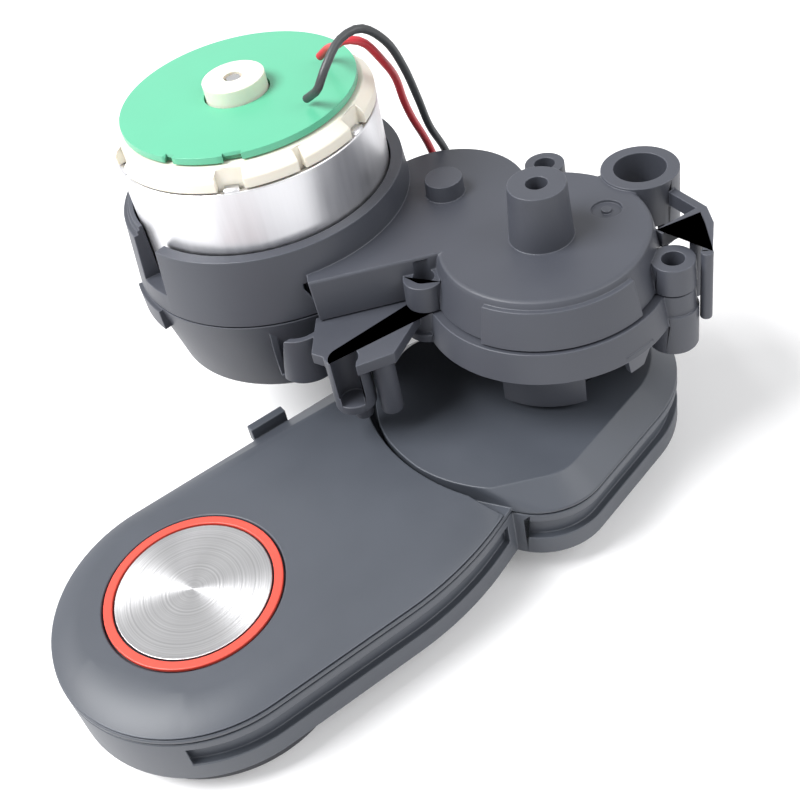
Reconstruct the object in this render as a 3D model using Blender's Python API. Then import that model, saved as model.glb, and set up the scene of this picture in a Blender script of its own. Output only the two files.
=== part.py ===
"""Side brush drive of a robot vacuum cleaner.

A flat motor stands in the cup of a two-part gear case. Three gear stages turn
an output shaft on the pivot axis, and a belt in the swinging arm carries the
turn to the brush hub under the arm's far end.

The origin is on the pivot axis at the arm's underside. +X runs along the arm
to the brush axis, and +Z is up.
"""

import math

import bmesh
import bpy
from mathutils import Matrix, Vector
from mathutils.geometry import interpolate_bezier

MM = 0.001

# Largest distance of a flat from the round shape it stands for
ROUND_ERROR = 0.16 * MM

# Clearances
CLEAR = 0.3 * MM
RUNNING = 0.35 * MM

# Plan positions
BRUSH_REACH = 68.4 * MM
MOTOR_AXIS = (23.4 * MM, -42.1 * MM)
SECOND_DIRECTION = -82.6

# Heights above the arm's underside
LOWER_SHELL_TOP = 8.9 * MM
DECK_THICKNESS = 0.8 * MM
COVER_RISE = 2.7 * MM
CUP_FLOOR = 14.3 * MM
CASE_FLOOR = 25.3 * MM
CAN_SEAT = 28.0 * MM
PARTING = 30.5 * MM
CASE_TOP = 37.6 * MM
CUP_RIM = 42.3 * MM
CAN_TOP = 53.0 * MM
PCB_TOP = 58.0 * MM

# Arm
ARM_HALF_WIDTH = 22.3 * MM
WAIST_START = 46.0 * MM
WAIST_RADIUS = 52.0 * MM
WAIST_SWEEP = 27.5
HEAD_RADIUS = 19.2 * MM
HEAD_CORNER = (14.5 * MM, 12.5 * MM)
HEAD_CORNER_RADIUS = 10.8 * MM
SHELL_WALL = 2.6 * MM
SHELL_FLOOR = 1.5 * MM
BAND_BOTTOM = 3.6 * MM
BAND_TOP = 7.4 * MM
BAND_DEPTH = 1.2 * MM
BAND_START = 25.5 * MM
BAND_END = 81.0 * MM
COVER_BEVEL = 5.3 * MM
COVER_SKIN = 1.3 * MM
COVER_ARC_RADIUS = 31.5 * MM
MOUND_SLOPE = 3.9 * MM
NOSE_RADIUS = 22.0 * MM
NOSE_CENTRE = 9.0 * MM
NOSE_HALF_ANGLE = 42.0
TAB_START = 38.9 * MM
TAB_LENGTH = 6.7 * MM
TAB_REACH = 1.9 * MM

# Arm screws
SCREW_HEAD_RADIUS = 2.4 * MM
SCREW_HEAD_HEIGHT = 1.4 * MM
SCREW_RADIUS = 1.3 * MM
SCREW_LENGTH = 6.4 * MM
POST_RADIUS = 2.9 * MM
POST_BOTTOM = 3.7 * MM
SIDE_SCREWS_X = 38.0 * MM
SIDE_POST_GAP = 1.3 * MM
END_SCREW_ANGLE = 35.0

# Decor on the arm cover
DECOR_RADIUS = 13.4 * MM
DECOR_DISC_RADIUS = 11.75 * MM
DECOR_RECESS = 0.9 * MM
DECOR_THICKNESS = 0.6 * MM

# Brush hub
HUB_RADIUS = 20.4 * MM
HUB_DROP = 5.0 * MM
HUB_JOURNAL_RADIUS = 7.6 * MM
HUB_SPINDLE_RADIUS = 4.0 * MM
SOCKET_SIDE = 8.6 * MM
SOCKET_DEPTH = 6.0 * MM
HUB_DISH_INNER = 9.6 * MM
HUB_DISH_OUTER = 17.6 * MM
HUB_DISH_DEPTH = 2.6 * MM
HUB_RIBS = 6
HUB_RIB_WIDTH = 1.2 * MM

# Belt drive in the arm
PULLEY_BOTTOM = 2.9 * MM
PULLEY_HEIGHT = 5.0 * MM
PULLEY_FLANGE = 0.7 * MM
PULLEY_FLANGE_RADIUS = 8.9 * MM
PULLEY_TIP_RADIUS = 7.0 * MM
PULLEY_TEETH = 16
PULLEY_TOOTH_DEPTH = 0.8 * MM
BELT_THICKNESS = 1.2 * MM

# Pivot
STEM_RADIUS = 7.6 * MM
STEM_BOTTOM = 8.6 * MM
SKIRT_RADIUS = 12.9 * MM
SKIRT_WALL = 1.4 * MM
RETAINER_RADIUS = 9.6 * MM
RETAINER_THICKNESS = 0.9 * MM
RETAINER_GROOVE = 0.7 * MM
OUTPUT_SHAFT_RADIUS = 2.5 * MM
OUTPUT_SHAFT_BOTTOM = 1.5 * MM
BUSH_WALL = 1.5 * MM
BUSH_LENGTH = 4.0 * MM
HUB_BUSH_BOTTOM = 0.7 * MM
HUB_BUSH_DROP = 0.8 * MM

# Gear case
CASE_WALL = 1.4 * MM
SIDE_WALL = 1.2 * MM
CASE_DRAFT = 0.4 * MM
ROOF_EDGE = 0.9 * MM
LOBE_FLARE = 1.4 * MM
LOBE_BACK = (-1.1 * MM, -0.6 * MM)
LOBE_LEDGE = 1.2 * MM
LOBE_SPREAD = 3.6 * MM
PANEL_RISE = 0.8 * MM
PANEL_TOP = 36.4 * MM
PANEL_ANGLES = (18.0, 99.0)
GEAR_ROOM = 0.35 * MM
FIRST_LOBE_FLOOR = 17.2 * MM
SECOND_LOBE_FLOOR = 21.4 * MM
CUP_RIM_WALL = 1.95 * MM
CUP_WAIST_WALL = 2.15 * MM
CUP_PARTING_WALL = 3.05 * MM
CUP_FLOOR_THICKNESS = 1.5 * MM
CUP_FLOOR_TAPER = 3.0 * MM
CAN_LEDGE = 2.2 * MM
INNER_CUP_WALL = 0.9 * MM
NOTCH_ANGLES = (-3.0, 13.0)
NOTCH_FLOOR = 34.0 * MM
TONGUE_ANGLES = (-35.0, -3.0)
TONGUE_TOP = 43.6 * MM
TONGUE_WALL = 1.2 * MM
LUG_ANGLES = (-17.0, 6.0)
LUG_REACH = 0.7 * MM
LUG_BOTTOM = 26.0 * MM
LEG_BOTTOM = 22.0 * MM

# Wiring clip, trough and shelf beside the cup
CLIP_CENTRE = (33.4 * MM, -19.5 * MM)
CLIP_RADIUS = 5.0 * MM
CLIP_WALL = 1.0 * MM
CLIP_BOTTOM = 21.5 * MM
CLIP_MOUTH_LOW = (-0.7 * MM, 0.3 * MM)
CLIP_MOUTH_HIGH = (-3.4 * MM, 2.6 * MM)
TROUGH_CENTRE = (32.2 * MM, -8.2 * MM)
TROUGH_RADIUS = 3.25 * MM
TROUGH_BOTTOM = 20.0 * MM
TROUGH_FACING = 53.0
STUB_PLACE = (28.0 * MM, -4.9 * MM)
STUB_BOTTOM = 18.0 * MM
SHELF_THICKNESS = 2.0 * MM
SHELF = [
    (18.0 * MM, -12.5 * MM),
    (31.0 * MM, -18.0 * MM),
    (36.0 * MM, -11.5 * MM),
    (33.0 * MM, -4.2 * MM),
    (27.0 * MM, -2.4 * MM),
    (16.0 * MM, -8.6 * MM),
]

# Bosses on the gear case
EAR_TOP = 35.0 * MM
EAR_RADIUS = 3.2 * MM
EAR_HOLE = 1.65 * MM
EAR_WEB = 3.0 * MM
LEFT_EAR = (16.3 * MM, -8.3 * MM)
RIGHT_EAR = (-10.8 * MM, 15.6 * MM)
REAR_EAR = (-14.3 * MM, -16.0 * MM)
TALL_BOSS_TOP = 46.8 * MM
TALL_BOSS_BASE_RADIUS = 4.9 * MM
TALL_BOSS_TOP_RADIUS = 4.3 * MM
TALL_BOSS_HOLE = 1.6 * MM
TALL_BOSS_HOLE_DEPTH = 7.0 * MM
SHORT_BOSS_RADIUS = 3.0 * MM
SHORT_BOSS_RISE = 2.8 * MM
TUBE_CENTRE = (-21.0 * MM, -1.3 * MM)
TUBE_TOP = 38.0 * MM
TUBE_LENGTH = 12.0 * MM
TUBE_RADIUS = 6.0 * MM
TUBE_BORE = 4.0 * MM
TUBE_WEB = 5.0 * MM
TUBE_WEB_START = (-15.6 * MM, -7.6 * MM)
TUBE_WEB_END = (-23.3 * MM, -6.5 * MM)
DIMPLE = (-10.6 * MM, 2.4 * MM)
EAR_FOOT = 19.6 * MM
BRACKET_ROUTE = [
    (-21.9 * MM, 2.5 * MM),
    (-21.3 * MM, 11.2 * MM),
    (-19.3 * MM, 14.3 * MM),
    (-14.1 * MM, 18.9 * MM),
]
BRACKET_WALL = 1.4 * MM
BRACKET_BOTTOM = 33.5 * MM
BRACKET_TOP = 36.0 * MM
BRACKET_STRUT_START = (-13.0 * MM, 10.6 * MM)
PIN_RADIUS = 0.9 * MM
LONG_PIN_LENGTH = 12.0 * MM
SHORT_PIN = (-16.8 * MM, 14.2 * MM)

# Gears
FIRST_MODULE = 0.6 * MM
LAST_MODULE = 0.7 * MM
PINION_TEETH = 12
FIRST_WHEEL_TEETH = 40
FIRST_PINION_TEETH = 14
SECOND_WHEEL_TEETH = 36
SECOND_PINION_TEETH = 19
OUTPUT_TEETH = 39
FIRST_WHEEL_BOTTOM = 19.1 * MM
SECOND_WHEEL_BOTTOM = 23.6 * MM
OUTPUT_GEAR_BOTTOM = 31.0 * MM
FACE_WIDTH = 3.4 * MM
ADDENDUM = 0.85
DEDENDUM = 1.15
AXLE_RADIUS = 1.0 * MM

# Motor
CAN_RADIUS = 21.25 * MM
CAN_WALL = 1.0 * MM
MOTOR_SHAFT_RADIUS = 1.15 * MM
ENDCAP_CHAMFER = 1.5 * MM
ENDCAP_WALL = 1.5 * MM
ENDCAP_BOSS_RADIUS = 5.0 * MM
ENDCAP_BOSS_RISE = 2.5 * MM
RIM_NOTCH_ANGLES = (-5.0, 55.0, 117.0, 175.0, 235.0, 295.0)
RIM_NOTCH_WIDTH = 4.2 * MM
RIM_NOTCH_DEPTH = 1.4 * MM
RIM_SLIT_ANGLE = 85.0
RIM_SLIT_WIDTH = 1.0 * MM
BOARD_NOTCHES = [(27.0, 1.6 * MM), (58.0, 2.8 * MM)]
BOARD_NOTCH_DEPTH = 0.8 * MM
PCB_INSET = 2.25 * MM
PCB_THICKNESS = 1.15 * MM
MAGNET_THICKNESS = 4.75 * MM
AIR_GAP = 0.7 * MM
CORE_HEIGHT = 11.0 * MM
CORE_POLES = 5
WINDING_SHARE = 0.22
COMMUTATOR_RADIUS = 4.0 * MM
BRUSH_SIDE = 3.0 * MM
BRUSH_LENGTH = 6.5 * MM
REAR_BUSH_LENGTH = 4.2 * MM
FRONT_BUSH_LENGTH = 2.0 * MM

# Leads
LEAD_RADIUS = 0.65 * MM
COIL_CENTRE = (-24.0 * MM, -40.0 * MM)
COIL_RADIUS = 7.5 * MM
COIL_TURNS = 2.75
COIL_LAYERS = 2
PLUG_DIRECTION = 35.0
PLUG_SIZE = (6.0 * MM, 10.0 * MM, 4.6 * MM)
PLUG_WALL = 1.0 * MM
PLUG_MOUTH = 6.0 * MM
PLUG_KEY = 0.8 * MM

# Routes of the leads in millimetres, from the board over the rim and down behind
RED_ROUTE = [
    (8.0, -34.6, 58.7),
    (7.3, -34.9, 60.2),
    (6.5, -33.6, 61.7),
    (5.8, -31.2, 62.0),
    (5.2, -28.9, 60.4),
    (4.5, -28.2, 57.3),
    (3.7, -29.3, 54.0),
    (3.3, -31.2, 50.8),
    (2.8, -33.3, 47.4),
    (1.3, -35.1, 44.4),
    (-1.2, -36.3, 41.4),
    (-3.0, -36.9, 37.2),
    (-5.4, -37.2, 32.0),
    (-8.4, -37.0, 25.0),
    (-11.6, -36.9, 15.0),
    (-15.2, -36.7, 6.0),
    (-18.2, -36.4, 0.8),
    (-20.0, -36.0, -1.6),
]
BLACK_ROUTE = [
    (15.2, -28.6, 58.7),
    (13.8, -29.8, 60.2),
    (11.9, -30.8, 62.2),
    (10.2, -30.8, 63.7),
    (8.9, -29.9, 64.2),
    (8.3, -28.3, 63.4),
    (8.0, -26.9, 61.4),
    (7.5, -25.8, 58.6),
    (6.5, -25.2, 55.4),
    (4.8, -25.1, 51.6),
    (2.2, -26.2, 47.4),
    (-1.4, -28.4, 42.6),
    (-5.6, -31.3, 37.2),
    (-8.0, -32.8, 31.0),
    (-10.0, -33.5, 24.0),
    (-13.0, -34.0, 15.0),
    (-16.6, -34.3, 6.0),
    (-19.4, -34.4, 0.8),
    (-21.0, -34.4, -1.6),
]

COLOURS = {
    "black plastic": ((0.032, 0.034, 0.042), 0.42, 0.0),
    "white plastic": ((0.80, 0.78, 0.70), 0.45, 0.0),
    "gear plastic": ((0.82, 0.81, 0.76), 0.40, 0.0),
    "board": ((0.02, 0.27, 0.13), 0.35, 0.0),
    "steel": ((0.62, 0.62, 0.63), 0.32, 1.0),
    "bronze": ((0.55, 0.36, 0.16), 0.45, 1.0),
    "copper": ((0.72, 0.33, 0.17), 0.35, 1.0),
    "aluminium": ((0.80, 0.80, 0.81), 0.28, 1.0),
    "red plastic": ((0.75, 0.06, 0.04), 0.40, 0.0),
    "magnet": ((0.10, 0.10, 0.11), 0.60, 0.0),
    "carbon": ((0.04, 0.04, 0.04), 0.70, 0.0),
    "belt rubber": ((0.02, 0.02, 0.02), 0.75, 0.0),
    "red lead": ((0.70, 0.02, 0.03), 0.45, 0.0),
    "black lead": ((0.02, 0.02, 0.02), 0.45, 0.0),
}

# Heights worked out from the driving ones
DECK_BOTTOM = LOWER_SHELL_TOP + CLEAR
DECK_TOP = DECK_BOTTOM + DECK_THICKNESS
COVER_BOTTOM = DECK_TOP + CLEAR
COVER_TOP = COVER_BOTTOM + COVER_RISE
PCB_BOTTOM = PCB_TOP - PCB_THICKNESS
BELT_RADIUS = PULLEY_TIP_RADIUS + CLEAR
BRUSH_AXIS = (BRUSH_REACH, 0.0)
CUP_BORE = CAN_RADIUS + CLEAR
CUP_RIM_RADIUS = CUP_BORE + CUP_RIM_WALL
CUP_WAIST_RADIUS = CUP_BORE + CUP_WAIST_WALL
CUP_PARTING_RADIUS = CUP_BORE + CUP_PARTING_WALL
CUP_FLOOR_RADIUS = CUP_PARTING_RADIUS - CUP_FLOOR_TAPER
CUP_LOWER_BORE = CUP_BORE - CAN_LEDGE
LUG_RADIUS = CUP_PARTING_RADIUS + LUG_REACH
CORE_RADIUS = CAN_RADIUS - CAN_WALL - CLEAR - MAGNET_THICKNESS - AIR_GAP
WINDING_RADIUS = WINDING_SHARE * CORE_RADIUS
PCB_RADIUS = CAN_RADIUS - PCB_INSET
OUTPUT_TIP_RADIUS = (OUTPUT_TEETH / 2 + ADDENDUM) * LAST_MODULE
SECOND_TIP_RADIUS = (SECOND_WHEEL_TEETH / 2 + ADDENDUM) * FIRST_MODULE
FIRST_TIP_RADIUS = (FIRST_WHEEL_TEETH / 2 + ADDENDUM) * FIRST_MODULE
CAVITY_RADIUS = OUTPUT_TIP_RADIUS + GEAR_ROOM
LOBE_TOP_RADIUS = CAVITY_RADIUS + SIDE_WALL
LOBE_PARTING_RADIUS = LOBE_TOP_RADIUS + LOBE_FLARE
LOBE_BASE_RADIUS = LOBE_TOP_RADIUS + LOBE_SPREAD
SECOND_LOBE_RADIUS = SECOND_TIP_RADIUS + GEAR_ROOM + SIDE_WALL
FIRST_LOBE_RADIUS = FIRST_TIP_RADIUS + GEAR_ROOM + CASE_WALL
CASE_SPLIT = PARTING - CLEAR
STEM_BORE = OUTPUT_SHAFT_RADIUS + RUNNING + BUSH_WALL + CLEAR
UPPER_BUSH_SEAT = STEM_BORE
UPPER_BUSH_BOTTOM = OUTPUT_GEAR_BOTTOM + FACE_WIDTH + 0.6 * MM
RETAINER_BOTTOM = DECK_BOTTOM + MM


def polar(radius, degrees, centre=(0.0, 0.0)):
    """The point at a radius and an angle from a centre, in plan."""
    angle = math.radians(degrees)
    return (centre[0] + radius * math.cos(angle), centre[1] + radius * math.sin(angle))


# Arm screws: one pair at the sides, one pair beyond the hub
POST_INSET = SHELL_WALL + POST_RADIUS
SIDE_SCREWS_Y = ARM_HALF_WIDTH - POST_INSET - SIDE_POST_GAP
END_SCREW_REACH = ARM_HALF_WIDTH - POST_INSET - CLEAR
SCREW_PLACES = [
    (SIDE_SCREWS_X, SIDE_SCREWS_Y),
    (SIDE_SCREWS_X, -SIDE_SCREWS_Y),
    polar(END_SCREW_REACH, END_SCREW_ANGLE, BRUSH_AXIS),
    polar(END_SCREW_REACH, -END_SCREW_ANGLE, BRUSH_AXIS),
]


def sides(radius):
    """How many sides keep a round shape within the allowed error."""
    half_turn = math.acos(max(1 - ROUND_ERROR / radius, 0))
    return 4 * max(3, math.ceil(math.pi / half_turn / 4))


def arc(centre, radius, start, stop, like=None):
    """Points along an arc, both ends included, as many as on one of the radius like."""
    steps = max(2, math.ceil(sides(like or radius) * abs(stop - start) / 360))
    return [polar(radius, start + (stop - start) * i / steps, centre) for i in range(steps + 1)]


def circle(centre, radius, like=None):
    """Points round a circle, as many as on one of the radius like."""
    count = sides(like or radius)
    return [polar(radius, 360 * i / count, centre) for i in range(count)]


def rectangle(x0, y0, x1, y1):
    """The corners of a rectangle."""
    return [(x0, y0), (x1, y0), (x1, y1), (x0, y1)]


def bar(start, stop, width):
    """The outline of a straight bar between two points."""
    length = math.hypot(stop[0] - start[0], stop[1] - start[1])
    side = ((start[1] - stop[1]) / length * width / 2, (stop[0] - start[0]) / length * width / 2)
    return [
        (start[0] - side[0], start[1] - side[1]),
        (stop[0] - side[0], stop[1] - side[1]),
        (stop[0] + side[0], stop[1] + side[1]),
        (start[0] + side[0], start[1] + side[1]),
    ]


def sector(centre, inner, outer, start, stop):
    """The outline of a piece of a ring between two angles."""
    return arc(centre, outer, start, stop) + arc(centre, inner, stop, start)


def ribbon(points, width):
    """The outline of a bent rib along some points, mitred at its bends."""
    left = []
    right = []
    for i, point in enumerate(points):
        before = Vector(points[max(i - 1, 0)])
        after = Vector(points[min(i + 1, len(points) - 1)])
        here = Vector(point)
        ways = [way.normalized() for way in (here - before, after - here) if way.length > 0]
        along = (ways[0] + ways[-1]).normalized()
        reach = width / 2 / along.dot(ways[0])
        across = Vector((-along.y, along.x)) * reach
        left.append(tuple(here + across))
        right.append(tuple(here - across))
    return right + left[::-1]


def hull(points):
    """The convex outline round some points in plan."""
    ordered = sorted(set((round(x, 7), round(y, 7)) for x, y in points))

    def half(sequence):
        chain = []
        for p in sequence:
            while len(chain) > 1:
                a, b = chain[-2], chain[-1]
                turn = (b[0] - a[0]) * (p[1] - a[1]) - (b[1] - a[1]) * (p[0] - a[0])
                if turn > 1e-12:
                    break
                chain.pop()
            chain.append(p)
        return chain

    return half(ordered)[:-1] + half(ordered[::-1])[:-1]


def mesh_object(bm, name="tool"):
    """An object holding a finished bmesh, with its faces pointing out."""
    bmesh.ops.recalc_face_normals(bm, faces=bm.faces)
    mesh = bpy.data.meshes.new(name)
    bm.to_mesh(mesh)
    bm.free()
    obj = bpy.data.objects.new(name, mesh)
    bpy.context.scene.collection.objects.link(obj)
    return obj


def prism(outline, bottom, top):
    """A closed outline pushed up from bottom to top."""
    bm = bmesh.new()
    face = bm.faces.new([bm.verts.new((x, y, bottom)) for x, y in outline])
    grown = bmesh.ops.extrude_face_region(bm, geom=[face])["geom"]
    moved = [g for g in grown if isinstance(g, bmesh.types.BMVert)]
    bmesh.ops.translate(bm, verts=moved, vec=(0, 0, top - bottom))
    return mesh_object(bm)


def layered(levels):
    """The convex solid through several outlines, each given with its height."""
    bm = bmesh.new()
    for outline, height in levels:
        for x, y in outline:
            bm.verts.new((x, y, height))
    bmesh.ops.convex_hull(bm, input=bm.verts)
    bmesh.ops.dissolve_limit(bm, angle_limit=math.radians(0.5), verts=bm.verts, edges=bm.edges)
    return mesh_object(bm)


def cylinder(centre, radius, bottom, top, top_radius=None):
    """An upright cylinder or, with a top radius, a cone's frustum."""
    upper = radius if top_radius is None else top_radius
    bm = bmesh.new()
    bmesh.ops.create_cone(
        bm,
        cap_ends=True,
        segments=sides(max(radius, upper)),
        radius1=radius,
        radius2=upper,
        depth=top - bottom,
    )
    bmesh.ops.translate(bm, verts=bm.verts, vec=(centre[0], centre[1], (top + bottom) / 2))
    return mesh_object(bm)


def turned(profile, centre, phase=0.0):
    """A closed profile of (radius, height) points turned about an upright axis."""
    bm = bmesh.new()
    verts = [bm.verts.new((r, 0, z)) for r, z in profile]
    closed = all(r > 0 for r, _ in profile)
    pairs = list(zip(verts, verts[1:])) + ([(verts[-1], verts[0])] if closed else [])
    edges = [bm.edges.new(pair) for pair in pairs]
    bmesh.ops.spin(
        bm,
        geom=verts + edges,
        cent=(0, 0, 0),
        axis=(0, 0, 1),
        angle=2 * math.pi,
        steps=sides(max(r for r, _ in profile)),
    )
    bmesh.ops.remove_doubles(bm, verts=bm.verts, dist=1e-7)
    bmesh.ops.dissolve_limit(bm, angle_limit=math.radians(0.1), verts=bm.verts, edges=bm.edges)
    bmesh.ops.rotate(bm, verts=bm.verts, matrix=Matrix.Rotation(math.radians(phase), 3, "Z"))
    bmesh.ops.translate(bm, verts=bm.verts, vec=(centre[0], centre[1], 0))
    return mesh_object(bm)


def ring(centre, inner, outer, bottom, top, phase=0.0):
    """A plain upright ring."""
    profile = [(inner, bottom), (outer, bottom), (outer, top), (inner, top)]
    return turned(profile, centre, phase)


def boolean(base, operation, tools):
    """Apply one Boolean for each tool, in order, and remove the tools."""
    for tool in tools:
        modifier = base.modifiers.new("shape", "BOOLEAN")
        modifier.operation = operation
        modifier.object = tool
        modifier.solver = "EXACT"
        tool.hide_render = True
        tool.display_type = "WIRE"
    graph = bpy.context.evaluated_depsgraph_get()
    old = base.data
    result = bpy.data.meshes.new_from_object(base.evaluated_get(graph))
    base.modifiers.clear()
    base.data = result
    bpy.data.meshes.remove(old)
    for tool in tools:
        mesh = tool.data
        bpy.data.objects.remove(tool)
        bpy.data.meshes.remove(mesh)
    return base


def join(base, *tools):
    """Weld the tools to the base."""
    return boolean(base, "UNION", tools)


def cut(base, *tools):
    """Take the tools away from the base."""
    return boolean(base, "DIFFERENCE", tools)


def within(base, tool):
    """Keep only what lies inside the tool."""
    return boolean(base, "INTERSECT", [tool])


def material(name):
    """The material of one finish, made once."""
    found = bpy.data.materials.get(name)
    if found:
        return found
    colour, roughness, metallic = COLOURS[name]
    made = bpy.data.materials.new(name)
    made.use_nodes = True
    shader = made.node_tree.nodes["Principled BSDF"]
    shader.inputs["Base Color"].default_value = (*colour, 1.0)
    shader.inputs["Roughness"].default_value = roughness
    shader.inputs["Metallic"].default_value = metallic
    made.diffuse_color = (*colour, 1.0)
    return made


def finish(obj, name, finish_name, axis=None):
    """Name a piece, give it its finish and put its origin on its axis."""
    bm = bmesh.new()
    bm.from_mesh(obj.data)
    bmesh.ops.dissolve_limit(bm, angle_limit=math.radians(0.3), verts=bm.verts, edges=bm.edges)
    if axis is not None:
        bmesh.ops.translate(bm, verts=bm.verts, vec=(-axis[0], -axis[1], 0))
    bm.to_mesh(obj.data)
    bm.free()
    if axis is not None:
        obj.location = (axis[0], axis[1], 0)
    obj.name = name
    obj.data.name = name
    obj.data.materials.clear()
    obj.data.materials.append(material(finish_name))
    obj.data.shade_smooth()
    obj.data.set_sharp_from_angle(angle=math.radians(35))
    return obj


# Gears


def involute_angle(radius, base_radius):
    """The angle an involute has turned through when it reaches a radius."""
    roll = math.sqrt(max((radius / base_radius) ** 2 - 1, 0))
    return roll - math.atan(roll)


def gear_outline(teeth, module, turn=0.0):
    """A spur gear's outline in plan, with a tooth centred on the turn angle."""
    pitch = teeth * module / 2
    base = pitch * math.cos(math.radians(20))
    root = pitch - DEDENDUM * module
    tip = pitch + ADDENDUM * module
    half_tooth = math.pi / 2 / teeth - 0.12 * module / pitch
    points = []
    for tooth in range(teeth):
        middle = math.radians(turn) + 2 * math.pi * tooth / teeth
        side = []
        for radius in (root, tip):
            swing = involute_angle(max(radius, base), base) - involute_angle(pitch, base)
            side.append((radius, half_tooth - swing))
        for radius, angle in side:
            points.append((radius * math.cos(middle - angle), radius * math.sin(middle - angle)))
        for radius, angle in side[::-1]:
            points.append((radius * math.cos(middle + angle), radius * math.sin(middle + angle)))
    return points


def placed(outline, centre):
    """An outline moved to a centre."""
    return [(x + centre[0], y + centre[1]) for x, y in outline]


def gear(centre, teeth, module, bottom, top, turn=0.0):
    """A spur gear standing on its axis."""
    return prism(placed(gear_outline(teeth, module, turn), centre), bottom, top)


def heading(start, stop):
    """The direction from one point to another in degrees."""
    return math.degrees(math.atan2(stop[1] - start[1], stop[0] - start[0]))


def meshing_turn(driver_turn, driver_teeth, teeth, direction):
    """The turn that puts a gap of the driven gear on the driver's tooth.

    direction runs from the driver's axis to the driven gear's axis."""
    phase = (direction - driver_turn) * driver_teeth / 360
    return direction + 180 + (0.5 + phase) * 360 / teeth


FIRST_SPACING = (PINION_TEETH + FIRST_WHEEL_TEETH) * FIRST_MODULE / 2
SECOND_SPACING = (FIRST_PINION_TEETH + SECOND_WHEEL_TEETH) * FIRST_MODULE / 2
OUTPUT_SPACING = (SECOND_PINION_TEETH + OUTPUT_TEETH) * LAST_MODULE / 2
SECOND_AXIS = polar(OUTPUT_SPACING, SECOND_DIRECTION)


def crossing(centre, radius, other, other_radius):
    """The left-hand crossing of two circles, seen from the first centre."""
    apart = math.hypot(other[0] - centre[0], other[1] - centre[1])
    along = (apart**2 + radius**2 - other_radius**2) / (2 * apart)
    across = math.sqrt(max(radius**2 - along**2, 0))
    direction = math.radians(heading(centre, other))
    x = centre[0] + along * math.cos(direction) - across * math.sin(direction)
    y = centre[1] + along * math.sin(direction) + across * math.cos(direction)
    return (x, y)


FIRST_AXIS = crossing(MOTOR_AXIS, FIRST_SPACING, SECOND_AXIS, SECOND_SPACING)
PINION_TURN = 0.0
FIRST_TURN = meshing_turn(
    PINION_TURN, PINION_TEETH, FIRST_WHEEL_TEETH, heading(MOTOR_AXIS, FIRST_AXIS)
)
SECOND_TURN = meshing_turn(
    FIRST_TURN, FIRST_PINION_TEETH, SECOND_WHEEL_TEETH, heading(FIRST_AXIS, SECOND_AXIS)
)
OUTPUT_TURN = meshing_turn(
    SECOND_TURN, SECOND_PINION_TEETH, OUTPUT_TEETH, heading(SECOND_AXIS, (0.0, 0.0))
)


def compound_gear(name, axis, wheel, pinion, turn, wheel_bottom, pinion_top):
    """A wheel and a pinion moulded in one, bored for its axle."""
    wheel_teeth, wheel_module = wheel
    pinion_teeth, pinion_module = pinion
    wheel_top = wheel_bottom + FACE_WIDTH
    body = gear(axis, wheel_teeth, wheel_module, wheel_bottom, wheel_top, turn)
    small = gear(axis, pinion_teeth, pinion_module, wheel_top - 0.5 * MM, pinion_top, turn)
    join(body, small)
    cut(body, cylinder(axis, AXLE_RADIUS + RUNNING, wheel_bottom - MM, pinion_top + MM))
    return finish(body, name, "gear plastic", axis)


FIRST_PINION_TOP = CAN_SEAT - 2 * CLEAR
SECOND_PINION_TOP = OUTPUT_GEAR_BOTTOM + FACE_WIDTH + CLEAR


def build_gears():
    """The pinion, the two compound gears, their axles and the output gear."""
    pinion = gear(
        MOTOR_AXIS,
        PINION_TEETH,
        FIRST_MODULE,
        FIRST_WHEEL_BOTTOM - CLEAR,
        FIRST_WHEEL_BOTTOM + FACE_WIDTH + MM,
        PINION_TURN,
    )
    cut(pinion, cylinder(MOTOR_AXIS, MOTOR_SHAFT_RADIUS + CLEAR, 0, PARTING))
    finish(pinion, "motor_pinion", "bronze", MOTOR_AXIS)
    compound_gear(
        "first_gear",
        FIRST_AXIS,
        (FIRST_WHEEL_TEETH, FIRST_MODULE),
        (FIRST_PINION_TEETH, FIRST_MODULE),
        FIRST_TURN,
        FIRST_WHEEL_BOTTOM,
        FIRST_PINION_TOP,
    )
    compound_gear(
        "second_gear",
        SECOND_AXIS,
        (SECOND_WHEEL_TEETH, FIRST_MODULE),
        (SECOND_PINION_TEETH, LAST_MODULE),
        SECOND_TURN,
        SECOND_WHEEL_BOTTOM,
        SECOND_PINION_TOP,
    )
    output = gear(
        (0, 0),
        OUTPUT_TEETH,
        LAST_MODULE,
        OUTPUT_GEAR_BOTTOM,
        OUTPUT_GEAR_BOTTOM + FACE_WIDTH,
        OUTPUT_TURN,
    )
    hub_radius = OUTPUT_SHAFT_RADIUS + 3 * MM
    join(output, cylinder((0, 0), hub_radius, CASE_FLOOR + 2.6 * MM, OUTPUT_GEAR_BOTTOM + MM))
    cut(output, cylinder((0, 0), OUTPUT_SHAFT_RADIUS + CLEAR, 0, TALL_BOSS_TOP))
    finish(output, "output_gear", "gear plastic", (0, 0))
    first = cylinder(FIRST_AXIS, AXLE_RADIUS, FIRST_LOBE_FLOOR + CLEAR, FIRST_PINION_TOP)
    finish(first, "first_axle", "steel", FIRST_AXIS)
    second = cylinder(SECOND_AXIS, AXLE_RADIUS, SECOND_LOBE_FLOOR + CLEAR, CASE_TOP)
    finish(second, "second_axle", "steel", SECOND_AXIS)


# Gear case


def bridge(inset=0.0):
    """Plan outline of the case between the cup and the pivot lobe."""
    points = [
        (31.0 * MM, -17.0 * MM - inset),
        (22.2 * MM, -12.8 * MM - inset),
        (14.5 * MM - inset, -10.7 * MM - inset),
        (9.0 * MM - inset, -6.0 * MM),
        (0.0, -4.0 * MM),
        SECOND_AXIS,
        (10.0 * MM, -33.0 * MM),
        (MOTOR_AXIS[0], -32.0 * MM),
    ]
    return hull(points)


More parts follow.
